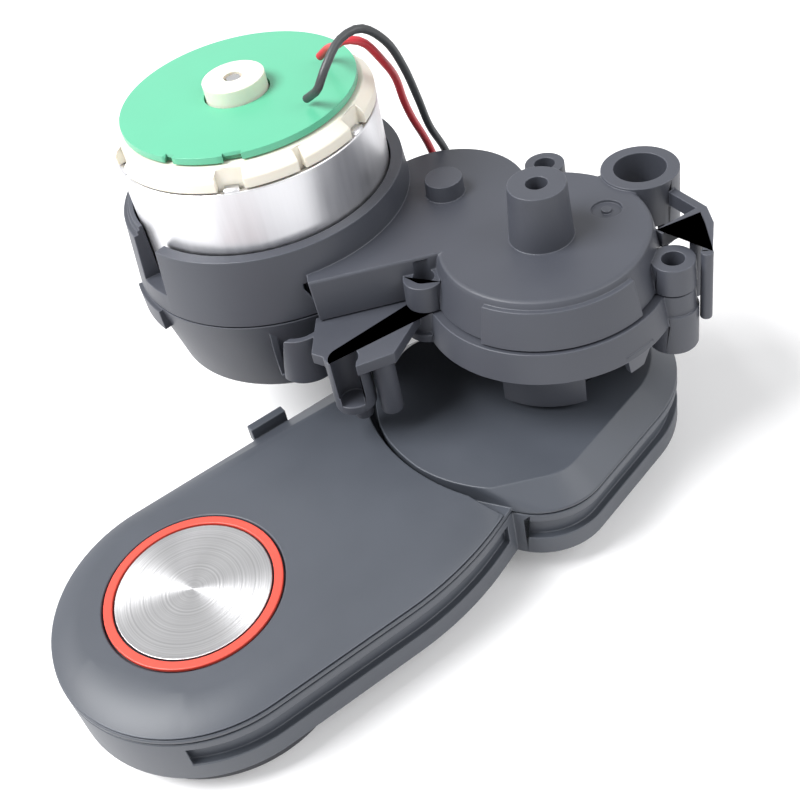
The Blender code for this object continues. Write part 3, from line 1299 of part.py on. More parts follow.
def build_motor_case():
    """The drawn steel can, the moulded end cap and the board."""
    can = cylinder(MOTOR_AXIS, CAN_RADIUS, CAN_SEAT, CAN_TOP)
    nose_radius = 4.6 * MM
    nose_bottom = CAN_SEAT - 1.6 * MM
    join(can, cylinder(MOTOR_AXIS, nose_radius, nose_bottom, CAN_SEAT + MM))
    seat_radius = MOTOR_SHAFT_RADIUS + RUNNING + BUSH_WALL + CLEAR
    cut(
        can,
        cylinder(MOTOR_AXIS, CAN_RADIUS - CAN_WALL, CAN_SEAT + CAN_WALL, CAN_TOP + MM),
        cylinder(MOTOR_AXIS, seat_radius, nose_bottom + 0.6 * MM, CAN_TOP),
        cylinder(MOTOR_AXIS, MOTOR_SHAFT_RADIUS + 0.8 * MM, 0, CAN_TOP),
    )
    finish(can, "motor_can", "steel", MOTOR_AXIS)
    bush("motor_front_bush", MOTOR_AXIS, MOTOR_SHAFT_RADIUS, nose_bottom + 0.9 * MM, FRONT_BUSH_LENGTH)

    low = CAN_TOP + CLEAR
    high = PCB_BOTTOM - CLEAR
    ceiling = high - ENDCAP_WALL
    profile = [
        (0, ceiling),
        (CAN_RADIUS - CAN_WALL - CLEAR - ENDCAP_WALL, ceiling),
        (CAN_RADIUS - CAN_WALL - CLEAR - ENDCAP_WALL, low - 2.0 * MM),
        (CAN_RADIUS - CAN_WALL - CLEAR, low - 2.0 * MM),
        (CAN_RADIUS - CAN_WALL - CLEAR, low),
        (CAN_RADIUS, low),
        (CAN_RADIUS, high - ENDCAP_CHAMFER),
        (CAN_RADIUS - ENDCAP_CHAMFER, high),
        (ENDCAP_BOSS_RADIUS, high),
        (ENDCAP_BOSS_RADIUS, PCB_TOP + ENDCAP_BOSS_RISE),
        (0, PCB_TOP + ENDCAP_BOSS_RISE),
    ]
    cap = turned(profile, MOTOR_AXIS)
    guides = []
    slots = []
    brush_bottom = CAN_SEAT + 19.0 * MM
    for side in (-1, 1):
        near = COMMUTATOR_RADIUS + 2.2 * MM
        far = near + 6.0 * MM
        half = BRUSH_SIDE / 2 + CLEAR + MM
        x0, x1 = sorted((MOTOR_AXIS[0] + side * near, MOTOR_AXIS[0] + side * far))
        y = MOTOR_AXIS[1]
        guides.append(prism(rectangle(x0, y - half, x1, y + half), brush_bottom - MM, ceiling + 0.5 * MM))
        slot_half = BRUSH_SIDE / 2 + CLEAR
        slots.append(
            prism(
                rectangle(x0 - MM, y - slot_half, x1 + MM, y + slot_half),
                brush_bottom - CLEAR,
                brush_bottom + BRUSH_SIDE + CLEAR,
            )
        )
    seat_top = low + 2.8 * MM
    join(cap, *guides, cylinder(MOTOR_AXIS, seat_radius + 1.3 * MM, low - 2.0 * MM, ceiling + 0.5 * MM))
    cut(
        cap,
        *slots,
        cylinder(MOTOR_AXIS, seat_radius, low - 3 * MM, seat_top),
        cylinder(MOTOR_AXIS, MOTOR_SHAFT_RADIUS + RUNNING, low, 2 * PARTING),
        *rim_notches(),
    )
    finish(cap, "motor_end_cap", "white plastic", MOTOR_AXIS)
    rear_bottom = seat_top - CLEAR - REAR_BUSH_LENGTH
    bush("motor_rear_bush", MOTOR_AXIS, MOTOR_SHAFT_RADIUS, rear_bottom, REAR_BUSH_LENGTH)
    board = cylinder(MOTOR_AXIS, PCB_RADIUS, PCB_BOTTOM, PCB_TOP)
    cut(board, cylinder(MOTOR_AXIS, ENDCAP_BOSS_RADIUS + CLEAR, PCB_BOTTOM - MM, PCB_TOP + MM))
    cut(board, *[radial_slot(PCB_RADIUS - BOARD_NOTCH_DEPTH, *notch) for notch in BOARD_NOTCHES])
    finish(board, "motor_board", "board", MOTOR_AXIS)
    for side, name in ((-1, "carbon_brush_left"), (1, "carbon_brush_right")):
        near = COMMUTATOR_RADIUS + CLEAR
        x0, x1 = sorted((MOTOR_AXIS[0] + side * near, MOTOR_AXIS[0] + side * (near + BRUSH_LENGTH)))
        y = MOTOR_AXIS[1]
        brush = prism(
            rectangle(x0, y - BRUSH_SIDE / 2, x1, y + BRUSH_SIDE / 2),
            brush_bottom,
            brush_bottom + BRUSH_SIDE,
        )
        finish(brush, name, "carbon")


def build_motor_inside():
    """The magnets and the wound rotor."""
    outer = CAN_RADIUS - CAN_WALL - CLEAR
    inner = CORE_RADIUS + AIR_GAP
    low = CAN_SEAT + 2.5 * MM
    high = low + CORE_HEIGHT + 4.0 * MM
    for start, name in ((25, "magnet_front"), (205, "magnet_rear")):
        outline = sector(MOTOR_AXIS, inner, outer, start, start + 130)
        finish(prism(outline, low, high), name, "magnet")
    core_low = low + 1.5 * MM
    core_high = core_low + CORE_HEIGHT
    core = cylinder(MOTOR_AXIS, CORE_RADIUS, core_low, core_high)
    cuts = []
    for pole in range(CORE_POLES):
        angle = 360 * (pole + 0.5) / CORE_POLES
        middle = polar(CORE_RADIUS - 1.65 * WINDING_RADIUS, angle, MOTOR_AXIS)
        mouth = bar(middle, polar(CORE_RADIUS + MM, angle, MOTOR_AXIS), WINDING_RADIUS / 2)
        cuts.append(prism(mouth, core_low - MM, core_high + MM))
        cuts.append(cylinder(middle, WINDING_RADIUS, core_low - MM, core_high + MM))
    cut(core, *cuts, cylinder(MOTOR_AXIS, MOTOR_SHAFT_RADIUS + CLEAR, 0, CAN_TOP))
    finish(core, "rotor_core", "copper", MOTOR_AXIS)
    commutator = ring(
        MOTOR_AXIS,
        MOTOR_SHAFT_RADIUS + CLEAR,
        COMMUTATOR_RADIUS,
        core_high + CLEAR,
        CAN_TOP - 2.6 * MM,
    )
    finish(commutator, "commutator", "copper", MOTOR_AXIS)
    shaft = cylinder(
        MOTOR_AXIS,
        MOTOR_SHAFT_RADIUS,
        FIRST_WHEEL_BOTTOM - 2 * CLEAR,
        PCB_TOP + ENDCAP_BOSS_RISE - CLEAR,
    )
    finish(shaft, "rotor_shaft", "steel", MOTOR_AXIS)


# Leads


def smooth_route(points, spacing):
    """Evenly spaced points along a smooth curve through the route's points."""
    knots = [Vector(point) * MM for point in points]
    fine = []
    for i in range(len(knots) - 1):
        before = knots[max(i - 1, 0)]
        after = knots[min(i + 2, len(knots) - 1)]
        lead_out = knots[i] + (knots[i + 1] - before) / 6
        lead_in = knots[i + 1] - (after - knots[i]) / 6
        fine += interpolate_bezier(knots[i], lead_out, lead_in, knots[i + 1], 24)[:-1]
    fine.append(knots[-1])
    travelled = [0.0]
    for a, b in zip(fine, fine[1:]):
        travelled.append(travelled[-1] + (b - a).length)
    count = max(2, round(travelled[-1] / spacing))
    route = []
    place = 0
    for i in range(count + 1):
        target = travelled[-1] * i / count
        while place < len(fine) - 2 and travelled[place + 1] < target:
            place += 1
        share = (target - travelled[place]) / (travelled[place + 1] - travelled[place])
        route.append(fine[place].lerp(fine[place + 1], share))
    return route


def lead(name, points, finish_name):
    """A lead as a round tube along its route."""
    curve = bpy.data.curves.new(name, "CURVE")
    curve.dimensions = "3D"
    curve.bevel_depth = LEAD_RADIUS
    curve.bevel_resolution = 2
    curve.use_fill_caps = True
    route = smooth_route(points, 3 * LEAD_RADIUS * 2)
    spline = curve.splines.new("POLY")
    spline.points.add(len(route) - 1)
    for point, place in zip(spline.points, route):
        point.co = (*place, 1.0)
    obj = bpy.data.objects.new(name, curve)
    bpy.context.scene.collection.objects.link(obj)
    obj.data.materials.append(material(finish_name))
    return obj


def build_leads():
    """The motor's two leads, their coil behind the case and the plug in it."""
    lead("red_lead", RED_ROUTE, "red lead")
    lead("black_lead", BLACK_ROUTE, "black lead")
    floor = -HUB_DROP
    half_width = (COIL_TURNS + 1) * LEAD_RADIUS
    inner = COIL_RADIUS - half_width
    outer = COIL_RADIUS + half_width
    top = floor + 2 * COIL_LAYERS * LEAD_RADIUS
    ease = LEAD_RADIUS / 2
    profile = [
        (inner + ease, floor),
        (outer - ease, floor),
        (outer, floor + ease),
        (outer, top - ease),
        (outer - ease, top),
        (inner + ease, top),
        (inner, top - ease),
        (inner, floor + ease),
    ]
    finish(turned(profile, COIL_CENTRE), "lead_coil", "black lead")
    width, length, height = PLUG_SIZE
    x0, y0 = polar(outer + CLEAR, PLUG_DIRECTION, COIL_CENTRE)
    x1 = x0 + width
    y1 = y0 + length
    plug = prism(rectangle(x0, y0, x1, y1), floor, floor + height)
    mouth = rectangle(x0 + PLUG_WALL, y1 - PLUG_MOUTH, x1 - PLUG_WALL, y1 + MM)
    cut(plug, prism(mouth, floor + PLUG_WALL, floor + height - PLUG_WALL))
    middle = (x0 + x1) / 2
    key = rectangle(middle - MM, y1 - PLUG_MOUTH, middle + MM, y1)
    join(plug, prism(key, floor + height - PLUG_WALL / 2, floor + height + PLUG_KEY))
    finish(plug, "lead_plug", "white plastic")


def main():
    """Clear the scene and build every piece."""
    for obj in list(bpy.data.objects):
        bpy.data.objects.remove(obj)
    build_gears()
    build_upper_housing()
    build_lower_housing()
    build_arm_lower_shell()
    build_arm_upper_shell()
    build_arm_cover()
    build_arm_screws()
    build_belt_drive()
    build_brush_hub()
    build_bushes()
    build_motor_case()
    build_motor_inside()
    build_leads()


main()
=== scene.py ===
"""Looks of the side brush drive: finishes, fine shapes, leads, camera and light."""

import math

import bmesh
import bpy
from mathutils import Matrix, Vector
from mathutils.geometry import interpolate_bezier


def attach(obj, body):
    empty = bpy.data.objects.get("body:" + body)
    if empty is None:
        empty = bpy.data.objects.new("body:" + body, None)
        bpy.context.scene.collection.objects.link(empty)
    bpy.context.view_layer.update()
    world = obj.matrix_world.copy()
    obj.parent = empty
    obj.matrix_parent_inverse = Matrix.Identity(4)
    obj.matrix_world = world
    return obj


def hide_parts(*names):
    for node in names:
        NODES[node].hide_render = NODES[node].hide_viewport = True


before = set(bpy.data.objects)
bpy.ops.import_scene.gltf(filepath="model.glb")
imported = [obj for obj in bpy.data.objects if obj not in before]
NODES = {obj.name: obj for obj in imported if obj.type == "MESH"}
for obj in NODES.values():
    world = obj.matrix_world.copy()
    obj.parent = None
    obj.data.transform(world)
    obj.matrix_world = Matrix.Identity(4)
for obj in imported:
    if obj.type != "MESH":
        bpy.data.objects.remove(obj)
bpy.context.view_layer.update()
scene = bpy.context.scene
MM = 0.001

# Camera
# A hand-held shot from above the motor side. The picture is cut close round the
# part, so the lens is shifted a little.
CAMERA_PLACE = Vector((84.1, 109.6, 139.7)) * MM
CAMERA_FORWARD = Vector((-0.3036, -0.6893, -0.6578))
CAMERA_RIGHT = Vector((-0.8159, 0.5446, -0.1941))
FOCAL_PIXELS = 1135.877
PICTURE_SIDE = 800
PICTURE_CENTRE = (347.51, 365.885)
SENSOR = 36.0

camera_data = bpy.data.cameras.new("camera")
camera_data.sensor_width = SENSOR
camera_data.lens = SENSOR * FOCAL_PIXELS / PICTURE_SIDE
camera_data.shift_x = (PICTURE_SIDE / 2 - PICTURE_CENTRE[0]) / PICTURE_SIDE
camera_data.shift_y = (PICTURE_CENTRE[1] - PICTURE_SIDE / 2) / PICTURE_SIDE
camera_data.clip_start = 0.01
camera = bpy.data.objects.new("camera", camera_data)
backward = -CAMERA_FORWARD.normalized()
sideways = CAMERA_RIGHT.normalized()
upward = backward.cross(sideways).normalized()
sideways = upward.cross(backward)
camera.matrix_world = Matrix.Translation(CAMERA_PLACE) @ Matrix(
    (
        (sideways.x, upward.x, backward.x),
        (sideways.y, upward.y, backward.y),
        (sideways.z, upward.z, backward.z),
    )
).to_4x4()
scene.collection.objects.link(camera)
scene.camera = camera
scene.view_settings.view_transform = "Standard"

# Leads
# Two limp PVC leads, soldered to the board and led over the rim. They drop behind
# the gear case and lie there in a coil, which ends in a small two-way connector.
LEAD_DIAMETER = 1.3 * MM
FLOOR_LEVEL = -5.0
COIL_CENTRE = (-24.0, -40.0)
COIL_RADIUS = 7.5
COIL_TURNS = 2.75
COIL_PITCH = 1.36
COIL_STEPS = 24
COIL_STOP = 1080.0
RED_ROUTE = [
    (10.1, -38.1, 59.0),
    (9.4, -36.0, 60.8),
    (10.4, -31.6, 63.0),
    (9.9, -29.1, 64.5),
    (7.6, -27.7, 63.5),
    (4.6, -28.6, 59.0),
    (1.6, -30.8, 54.0),
    (-0.6, -33.2, 48.0),
    (-2.6, -34.8, 43.0),
    (-5.6, -36.2, 36.0),
    (-8.4, -36.8, 26.0),
    (-11.6, -36.9, 15.0),
    (-15.2, -36.7, 6.0),
    (-18.2, -36.4, 0.8),
    (-20.0, -36.0, -1.6),
]
BLACK_ROUTE = [
    (18.5, -28.6, 59.0),
    (18.3, -26.7, 60.3),
    (18.2, -24.6, 62.0),
    (16.5, -24.4, 64.5),
    (12.7, -25.6, 66.8),
    (8.8, -25.4, 67.0),
    (4.9, -25.8, 63.0),
    (1.9, -27.2, 57.0),
    (-0.6, -28.8, 50.0),
    (-3.0, -30.6, 43.0),
    (-6.4, -32.4, 36.0),
    (-9.6, -33.4, 26.0),
    (-13.0, -34.0, 15.0),
    (-16.6, -34.3, 6.0),
    (-19.4, -34.4, 0.8),
    (-21.0, -34.4, -1.6),
]
RED_LANDING = [(-21.9, -35.2, -3.6)]
RED_END = [(-14.4, -37.4, -4.0), (-13.7, -34.9, -3.1), (-13.3, -32.4, -2.7)]
BLACK_END = [(-13.2, -37.6, -2.9), (-12.0, -34.9, -2.7), (-11.9, -32.4, -2.7)]


def smooth_route(points, spacing):
    """Evenly spaced points along a smooth curve through the route's points."""
    knots = [Vector(point) * MM for point in points]
    fine = []
    for i in range(len(knots) - 1):
        before = knots[max(i - 1, 0)]
        after = knots[min(i + 2, len(knots) - 1)]
        lead_out = knots[i] + (knots[i + 1] - before) / 6
        lead_in = knots[i + 1] - (after - knots[i]) / 6
        fine += interpolate_bezier(knots[i], lead_out, lead_in, knots[i + 1], 24)[:-1]
    fine.append(knots[-1])
    travelled = [0.0]
    for a, b in zip(fine, fine[1:]):
        travelled.append(travelled[-1] + (b - a).length)
    count = max(2, round(travelled[-1] / spacing))
    route = []
    place = 0
    for i in range(count + 1):
        target = travelled[-1] * i / count
        while place < len(fine) - 2 and travelled[place + 1] < target:
            place += 1
        share = (target - travelled[place]) / (travelled[place + 1] - travelled[place])
        route.append(fine[place].lerp(fine[place + 1], share))
    return route


def coil_points(height, start):
    """Flat spiral of one lead's turns, from the inside out."""
    inner = COIL_RADIUS - COIL_TURNS / 2 * COIL_PITCH
    first = COIL_STOP - 360 * COIL_TURNS
    count = round((COIL_STOP - start) / 360 * COIL_STEPS)
    points = []
    for i in range(count + 1):
        angle = start + (COIL_STOP - start) * i / count
        radius = inner + (angle - first) / 360 * COIL_PITCH
        x = COIL_CENTRE[0] + radius * math.cos(math.radians(angle))
        y = COIL_CENTRE[1] + radius * math.sin(math.radians(angle))
        points.append((x, y, height))
    return points


def pvc(name, colour, roughness):
    """Extruded PVC insulation: soft gloss, faint draw lines and a little dirt."""
    made = bpy.data.materials.new(name)
    made.use_nodes = True
    nodes, links = made.node_tree.nodes, made.node_tree.links
    shader = nodes["Principled BSDF"]
    place = nodes.new("ShaderNodeTexCoord")
    stains = nodes.new("ShaderNodeTexNoise")
    stains.inputs["Scale"].default_value = 260.0
    stains.inputs["Detail"].default_value = 5.0
    tone = nodes.new("ShaderNodeMix")
    tone.data_type = "RGBA"
    tone.inputs["A"].default_value = (*(c * 0.72 for c in colour), 1.0)
    tone.inputs["B"].default_value = (*colour, 1.0)
    gloss = nodes.new("ShaderNodeMapRange")
    gloss.inputs["To Min"].default_value = roughness - 0.1
    gloss.inputs["To Max"].default_value = roughness + 0.12
    grain = nodes.new("ShaderNodeTexNoise")
    grain.inputs["Scale"].default_value = 2600.0
    bump = nodes.new("ShaderNodeBump")
    bump.inputs["Strength"].default_value = 0.25
    bump.inputs["Distance"].default_value = 0.00002
    links.new(place.outputs["Object"], stains.inputs["Vector"])
    links.new(place.outputs["Object"], grain.inputs["Vector"])
    links.new(stains.outputs["Fac"], tone.inputs["Factor"])
    links.new(stains.outputs["Fac"], gloss.inputs["Value"])
    links.new(grain.outputs["Fac"], bump.inputs["Height"])
    links.new(tone.outputs["Result"], shader.inputs["Base Color"])
    links.new(gloss.outputs["Result"], shader.inputs["Roughness"])
    links.new(bump.outputs["Normal"], shader.inputs["Normal"])
    made.diffuse_color = (*colour, 1.0)
    return made


def lead(name, route, finish):
    """One lead as a round tube along its whole path."""
    path = smooth_route(route, LEAD_DIAMETER)
    curve = bpy.data.curves.new(name, "CURVE")
    curve.dimensions = "3D"
    curve.bevel_depth = LEAD_DIAMETER / 2
    curve.bevel_resolution = 4
    curve.use_fill_caps = True
    spline = curve.splines.new("POLY")
    spline.points.add(len(path) - 1)
    for point, place in zip(spline.points, path):
        point.co = (*place, 1.0)
    spline.use_smooth = True
    curve.materials.append(finish)
    obj = bpy.data.objects.new(name, curve)
    scene.collection.objects.link(obj)
    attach(obj, "case")
    return obj, path


red_height = FLOOR_LEVEL + 0.7
black_height = red_height + 1.3
first_angle = COIL_STOP - 360 * COIL_TURNS
red_turns = coil_points(red_height, first_angle + 12)
black_turns = coil_points(black_height, first_angle + 30)
red_pvc = pvc("red PVC", (0.62, 0.035, 0.05), 0.38)
black_pvc = pvc("black PVC", (0.045, 0.048, 0.052), 0.42)
red_lead, red_path = lead("lead_red", RED_ROUTE + RED_LANDING + red_turns + RED_END, red_pvc)
black_lead, black_path = lead("lead_black", BLACK_ROUTE + black_turns + BLACK_END, black_pvc)
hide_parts("red_lead", "lead_coil")
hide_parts("black_lead")

# Lower half of the gear case
# Black ABS, moulded in one: the motor cup's floor, the gear troughs, the pivot stem,
# the wiring clip and the screw bosses. It carries the axles of the gears.
ROUND_ERROR = 0.012 * MM
CLEAR = 0.3 * MM
RUNNING = 0.35 * MM
BRUSH_REACH = 68.4 * MM
MOTOR_AXIS = (23.4 * MM, -42.1 * MM)
SECOND_AXIS = (2.614551 * MM, -20.130925 * MM)
FIRST_AXIS = (11.107676 * MM, -32.494857 * MM)
LOWER_SHELL_TOP = 8.9 * MM
CUP_FLOOR = 14.3 * MM
CASE_FLOOR = 25.3 * MM
CAN_SEAT = 28.0 * MM
PARTING = 30.5 * MM
CASE_TOP = 37.6 * MM
CUP_RIM = 42.3 * MM
CAN_TOP = 53.0 * MM
PCB_TOP = 58.0 * MM
CASE_SPLIT = PARTING - CLEAR
STEM_RADIUS = 7.6 * MM
STEM_BOTTOM = 8.6 * MM
SKIRT_RADIUS = 12.9 * MM
SKIRT_WALL = 1.4 * MM
RETAINER_THICKNESS = 0.9 * MM
RETAINER_GROOVE = 0.7 * MM
OUTPUT_SHAFT_RADIUS = 2.5 * MM
BUSH_WALL = 1.5 * MM
RETAINER_BOTTOM = LOWER_SHELL_TOP + CLEAR + MM
STEM_BORE = OUTPUT_SHAFT_RADIUS + RUNNING + BUSH_WALL + CLEAR
CASE_WALL = 1.4 * MM
SIDE_WALL = 1.2 * MM
CASE_DRAFT = 0.4 * MM
ROOF_EDGE = 0.9 * MM
LOBE_BACK = (-1.1 * MM, -0.6 * MM)
LOBE_LEDGE = 1.2 * MM
CAVITY_RADIUS = 14.595 * MM
LOBE_TOP_RADIUS = CAVITY_RADIUS + SIDE_WALL
LOBE_PARTING_RADIUS = LOBE_TOP_RADIUS + 1.4 * MM
LOBE_BASE_RADIUS = LOBE_TOP_RADIUS + 3.6 * MM
SECOND_LOBE_RADIUS = 12.86 * MM
FIRST_LOBE_RADIUS = 14.26 * MM
CAN_RADIUS = 21.25 * MM
CUP_BORE = CAN_RADIUS + CLEAR
CUP_RIM_RADIUS = CUP_BORE + 1.95 * MM
CUP_WAIST_RADIUS = CUP_BORE + 2.15 * MM
CUP_PARTING_RADIUS = CUP_BORE + 3.05 * MM
CUP_FLOOR_RADIUS = CUP_PARTING_RADIUS - 3.0 * MM
CUP_LOWER_BORE = CUP_BORE - 2.2 * MM
LUG_RADIUS = CUP_PARTING_RADIUS + 0.7 * MM
FIRST_LOBE_FLOOR = 17.2 * MM
SECOND_LOBE_FLOOR = 21.4 * MM
CUP_FLOOR_THICKNESS = 1.5 * MM
LUG_ANGLES = (-17.0, 6.0)
LUG_BOTTOM = 26.0 * MM
LEG_BOTTOM = 22.0 * MM
CLIP_CENTRE = (33.4 * MM, -19.5 * MM)
CLIP_RADIUS = 5.0 * MM
CLIP_WALL = 1.0 * MM
CLIP_BOTTOM = 21.5 * MM
CLIP_MOUTH_LOW = (-0.7 * MM, 0.3 * MM)
CLIP_MOUTH_HIGH = (-3.4 * MM, 2.6 * MM)
TROUGH_CENTRE = (32.2 * MM, -8.2 * MM)
TROUGH_RADIUS = 3.25 * MM
TROUGH_BOTTOM = 20.0 * MM
TROUGH_FACING = 53.0
STUB_PLACE = (28.0 * MM, -4.9 * MM)
STUB_BOTTOM = 18.0 * MM
SHELF_THICKNESS = 2.0 * MM
SHELF = [
    (18.0 * MM, -12.5 * MM),
    (31.0 * MM, -18.0 * MM),
    (36.0 * MM, -11.5 * MM),
    (33.0 * MM, -4.2 * MM),
    (27.0 * MM, -2.4 * MM),
    (16.0 * MM, -8.6 * MM),
]
EAR_TOP = 35.0 * MM
EAR_RADIUS = 3.2 * MM
EAR_HOLE = 1.65 * MM
EAR_WEB = 3.0 * MM
LEFT_EAR = (16.3 * MM, -8.3 * MM)
RIGHT_EAR = (-10.8 * MM, 15.6 * MM)
REAR_EAR = (-14.3 * MM, -16.0 * MM)
EAR_FOOT = 19.6 * MM
FIRST_WHEEL_BOTTOM = 19.1 * MM
SECOND_WHEEL_BOTTOM = 23.6 * MM
AXLE_RADIUS = 1.0 * MM


def polar(radius, degrees, centre=(0.0, 0.0)):
    """The point at a radius and an angle from a centre, in plan."""
    angle = math.radians(degrees)
    return (centre[0] + radius * math.cos(angle), centre[1] + radius * math.sin(angle))


def sides(radius):
    """How many sides keep a round shape within the allowed error."""
    half_turn = math.acos(max(1 - ROUND_ERROR / radius, 0))
    return 4 * max(3, math.ceil(math.pi / half_turn / 4))


def arc(centre, radius, start, stop, like=None):
    """Points along an arc, both ends included, as many as on one of the radius like."""
    steps = max(2, math.ceil(sides(like or radius) * abs(stop - start) / 360))
    return [polar(radius, start + (stop - start) * i / steps, centre) for i in range(steps + 1)]


def circle(centre, radius, like=None):
    """Points round a circle, as many as on one of the radius like."""
    count = sides(like or radius)
    return [polar(radius, 360 * i / count, centre) for i in range(count)]


def rectangle(x0, y0, x1, y1):
    """The corners of a rectangle."""
    return [(x0, y0), (x1, y0), (x1, y1), (x0, y1)]


def bar(start, stop, width):
    """The outline of a straight bar between two points."""
    length = math.hypot(stop[0] - start[0], stop[1] - start[1])
    side = ((start[1] - stop[1]) / length * width / 2, (stop[0] - start[0]) / length * width / 2)
    return [
        (start[0] - side[0], start[1] - side[1]),
        (stop[0] - side[0], stop[1] - side[1]),
        (stop[0] + side[0], stop[1] + side[1]),
        (start[0] + side[0], start[1] + side[1]),
    ]


def sector(centre, inner, outer, start, stop):
    """The outline of a piece of a ring between two angles."""
    return arc(centre, outer, start, stop) + arc(centre, inner, stop, start)


def hull(points):
    """The convex outline round some points in plan."""
    ordered = sorted(set((round(x, 7), round(y, 7)) for x, y in points))

    def half(sequence):
        chain = []
        for p in sequence:
            while len(chain) > 1:
                a, b = chain[-2], chain[-1]
                turn = (b[0] - a[0]) * (p[1] - a[1]) - (b[1] - a[1]) * (p[0] - a[0])
                if turn > 1e-12:
                    break
                chain.pop()
            chain.append(p)
        return chain

    return half(ordered)[:-1] + half(ordered[::-1])[:-1]


def mesh_object(bm, name="tool"):
    """An object holding a finished bmesh, with its faces pointing out."""
    bmesh.ops.recalc_face_normals(bm, faces=bm.faces)
    mesh = bpy.data.meshes.new(name)
    bm.to_mesh(mesh)
    bm.free()
    obj = bpy.data.objects.new(name, mesh)
    bpy.context.scene.collection.objects.link(obj)
    return obj


def prism(outline, bottom, top):
    """A closed outline pushed up from bottom to top."""
    bm = bmesh.new()
    face = bm.faces.new([bm.verts.new((x, y, bottom)) for x, y in outline])
    grown = bmesh.ops.extrude_face_region(bm, geom=[face])["geom"]
    moved = [g for g in grown if isinstance(g, bmesh.types.BMVert)]
    bmesh.ops.translate(bm, verts=moved, vec=(0, 0, top - bottom))
    return mesh_object(bm)


def layered(levels):
    """The convex solid through several outlines, each given with its height."""
    bm = bmesh.new()
    for outline, height in levels:
        for x, y in outline:
            bm.verts.new((x, y, height))
    bmesh.ops.convex_hull(bm, input=bm.verts)
    bmesh.ops.dissolve_limit(bm, angle_limit=math.radians(0.5), verts=bm.verts, edges=bm.edges)
    return mesh_object(bm)


def cylinder(centre, radius, bottom, top, top_radius=None):
    """An upright cylinder or, with a top radius, a cone's frustum."""
    upper = radius if top_radius is None else top_radius
    bm = bmesh.new()
    bmesh.ops.create_cone(
        bm,
        cap_ends=True,
        segments=sides(max(radius, upper)),
        radius1=radius,
        radius2=upper,
        depth=top - bottom,
    )
    bmesh.ops.translate(bm, verts=bm.verts, vec=(centre[0], centre[1], (top + bottom) / 2))
    return mesh_object(bm)


def turned(profile, centre, phase=0.0):
    """A closed profile of (radius, height) points turned about an upright axis."""
    bm = bmesh.new()
    verts = [bm.verts.new((r, 0, z)) for r, z in profile]
    closed = all(r > 0 for r, _ in profile)
    pairs = list(zip(verts, verts[1:])) + ([(verts[-1], verts[0])] if closed else [])
    edges = [bm.edges.new(pair) for pair in pairs]
    bmesh.ops.spin(
        bm,
        geom=verts + edges,
        cent=(0, 0, 0),
        axis=(0, 0, 1),
        angle=2 * math.pi,
        steps=sides(max(r for r, _ in profile)),
    )
    bmesh.ops.remove_doubles(bm, verts=bm.verts, dist=1e-7)
    bmesh.ops.dissolve_limit(bm, angle_limit=math.radians(0.1), verts=bm.verts, edges=bm.edges)
    bmesh.ops.rotate(bm, verts=bm.verts, matrix=Matrix.Rotation(math.radians(phase), 3, "Z"))
    bmesh.ops.translate(bm, verts=bm.verts, vec=(centre[0], centre[1], 0))
    return mesh_object(bm)


def ring(centre, inner, outer, bottom, top, phase=0.0):
    """A plain upright ring."""
    profile = [(inner, bottom), (outer, bottom), (outer, top), (inner, top)]
    return turned(profile, centre, phase)


def boolean(base, operation, tools):
    """Apply one Boolean for each tool, in order, and remove the tools."""
    for tool in tools:
        modifier = base.modifiers.new("shape", "BOOLEAN")
        modifier.operation = operation
        modifier.object = tool
        modifier.solver = "EXACT"
        tool.hide_render = True
        tool.display_type = "WIRE"
    graph = bpy.context.evaluated_depsgraph_get()
    old = base.data
    result = bpy.data.meshes.new_from_object(base.evaluated_get(graph))
    base.modifiers.clear()
    base.data = result
    bpy.data.meshes.remove(old)
    for tool in tools:
        mesh = tool.data
        bpy.data.objects.remove(tool)
        bpy.data.meshes.remove(mesh)
    return base


def join(base, *tools):
    """Weld the tools to the base."""
    return boolean(base, "UNION", tools)


def cut(base, *tools):
    """Take the tools away from the base."""
    return boolean(base, "DIFFERENCE", tools)


def heading(start, stop):
    """The direction from one point to another in degrees."""
    return math.degrees(math.atan2(stop[1] - start[1], stop[0] - start[0]))


def bridge(inset=0.0):
    """Plan outline of the case between the cup and the pivot lobe."""
    points = [
        (31.0 * MM, -17.0 * MM - inset),
        (22.2 * MM, -12.8 * MM - inset),
        (14.5 * MM - inset, -10.7 * MM - inset),
        (9.0 * MM - inset, -6.0 * MM),
        (0.0, -4.0 * MM),
        SECOND_AXIS,
        (10.0 * MM, -33.0 * MM),
        (MOTOR_AXIS[0], -32.0 * MM),
    ]
    return hull(points)


def lobe_outline(radius):
    """Plan outline of the pivot lobe, a little fuller at the back."""
    size = LOBE_PARTING_RADIUS
    return hull(circle((0, 0), radius, size) + circle(LOBE_BACK, radius, size))


def boss(centre, radius, bottom, top):
    """A round boss with a little draft."""
    return cylinder(centre, radius * 1.06, bottom, top, radius)


def web_to(place, width):
    """The outline of a rib from inside the pivot lobe to a boss beside it."""
    start = polar(CAVITY_RADIUS + SIDE_WALL / 2, heading((0, 0), place))
    return bar(start, place, width)


def wiring_clip():
    """The open clip that stands on the cup's wall."""
    clip = cylinder(CLIP_CENTRE, CLIP_RADIUS, CLIP_BOTTOM, CASE_SPLIT)
    x, y = CLIP_CENTRE
    beyond = x + 2 * CLIP_RADIUS
    mouth = layered(
        [
            (rectangle(x, y + CLIP_MOUTH_LOW[0], beyond, y + CLIP_MOUTH_LOW[1]), CLIP_BOTTOM),
            (rectangle(x, y + CLIP_MOUTH_HIGH[0], beyond, y + CLIP_MOUTH_HIGH[1]), PARTING),
        ]
    )
    return cut(clip, cylinder(CLIP_CENTRE, CLIP_RADIUS - CLIP_WALL, 0, PARTING + MM), mouth)


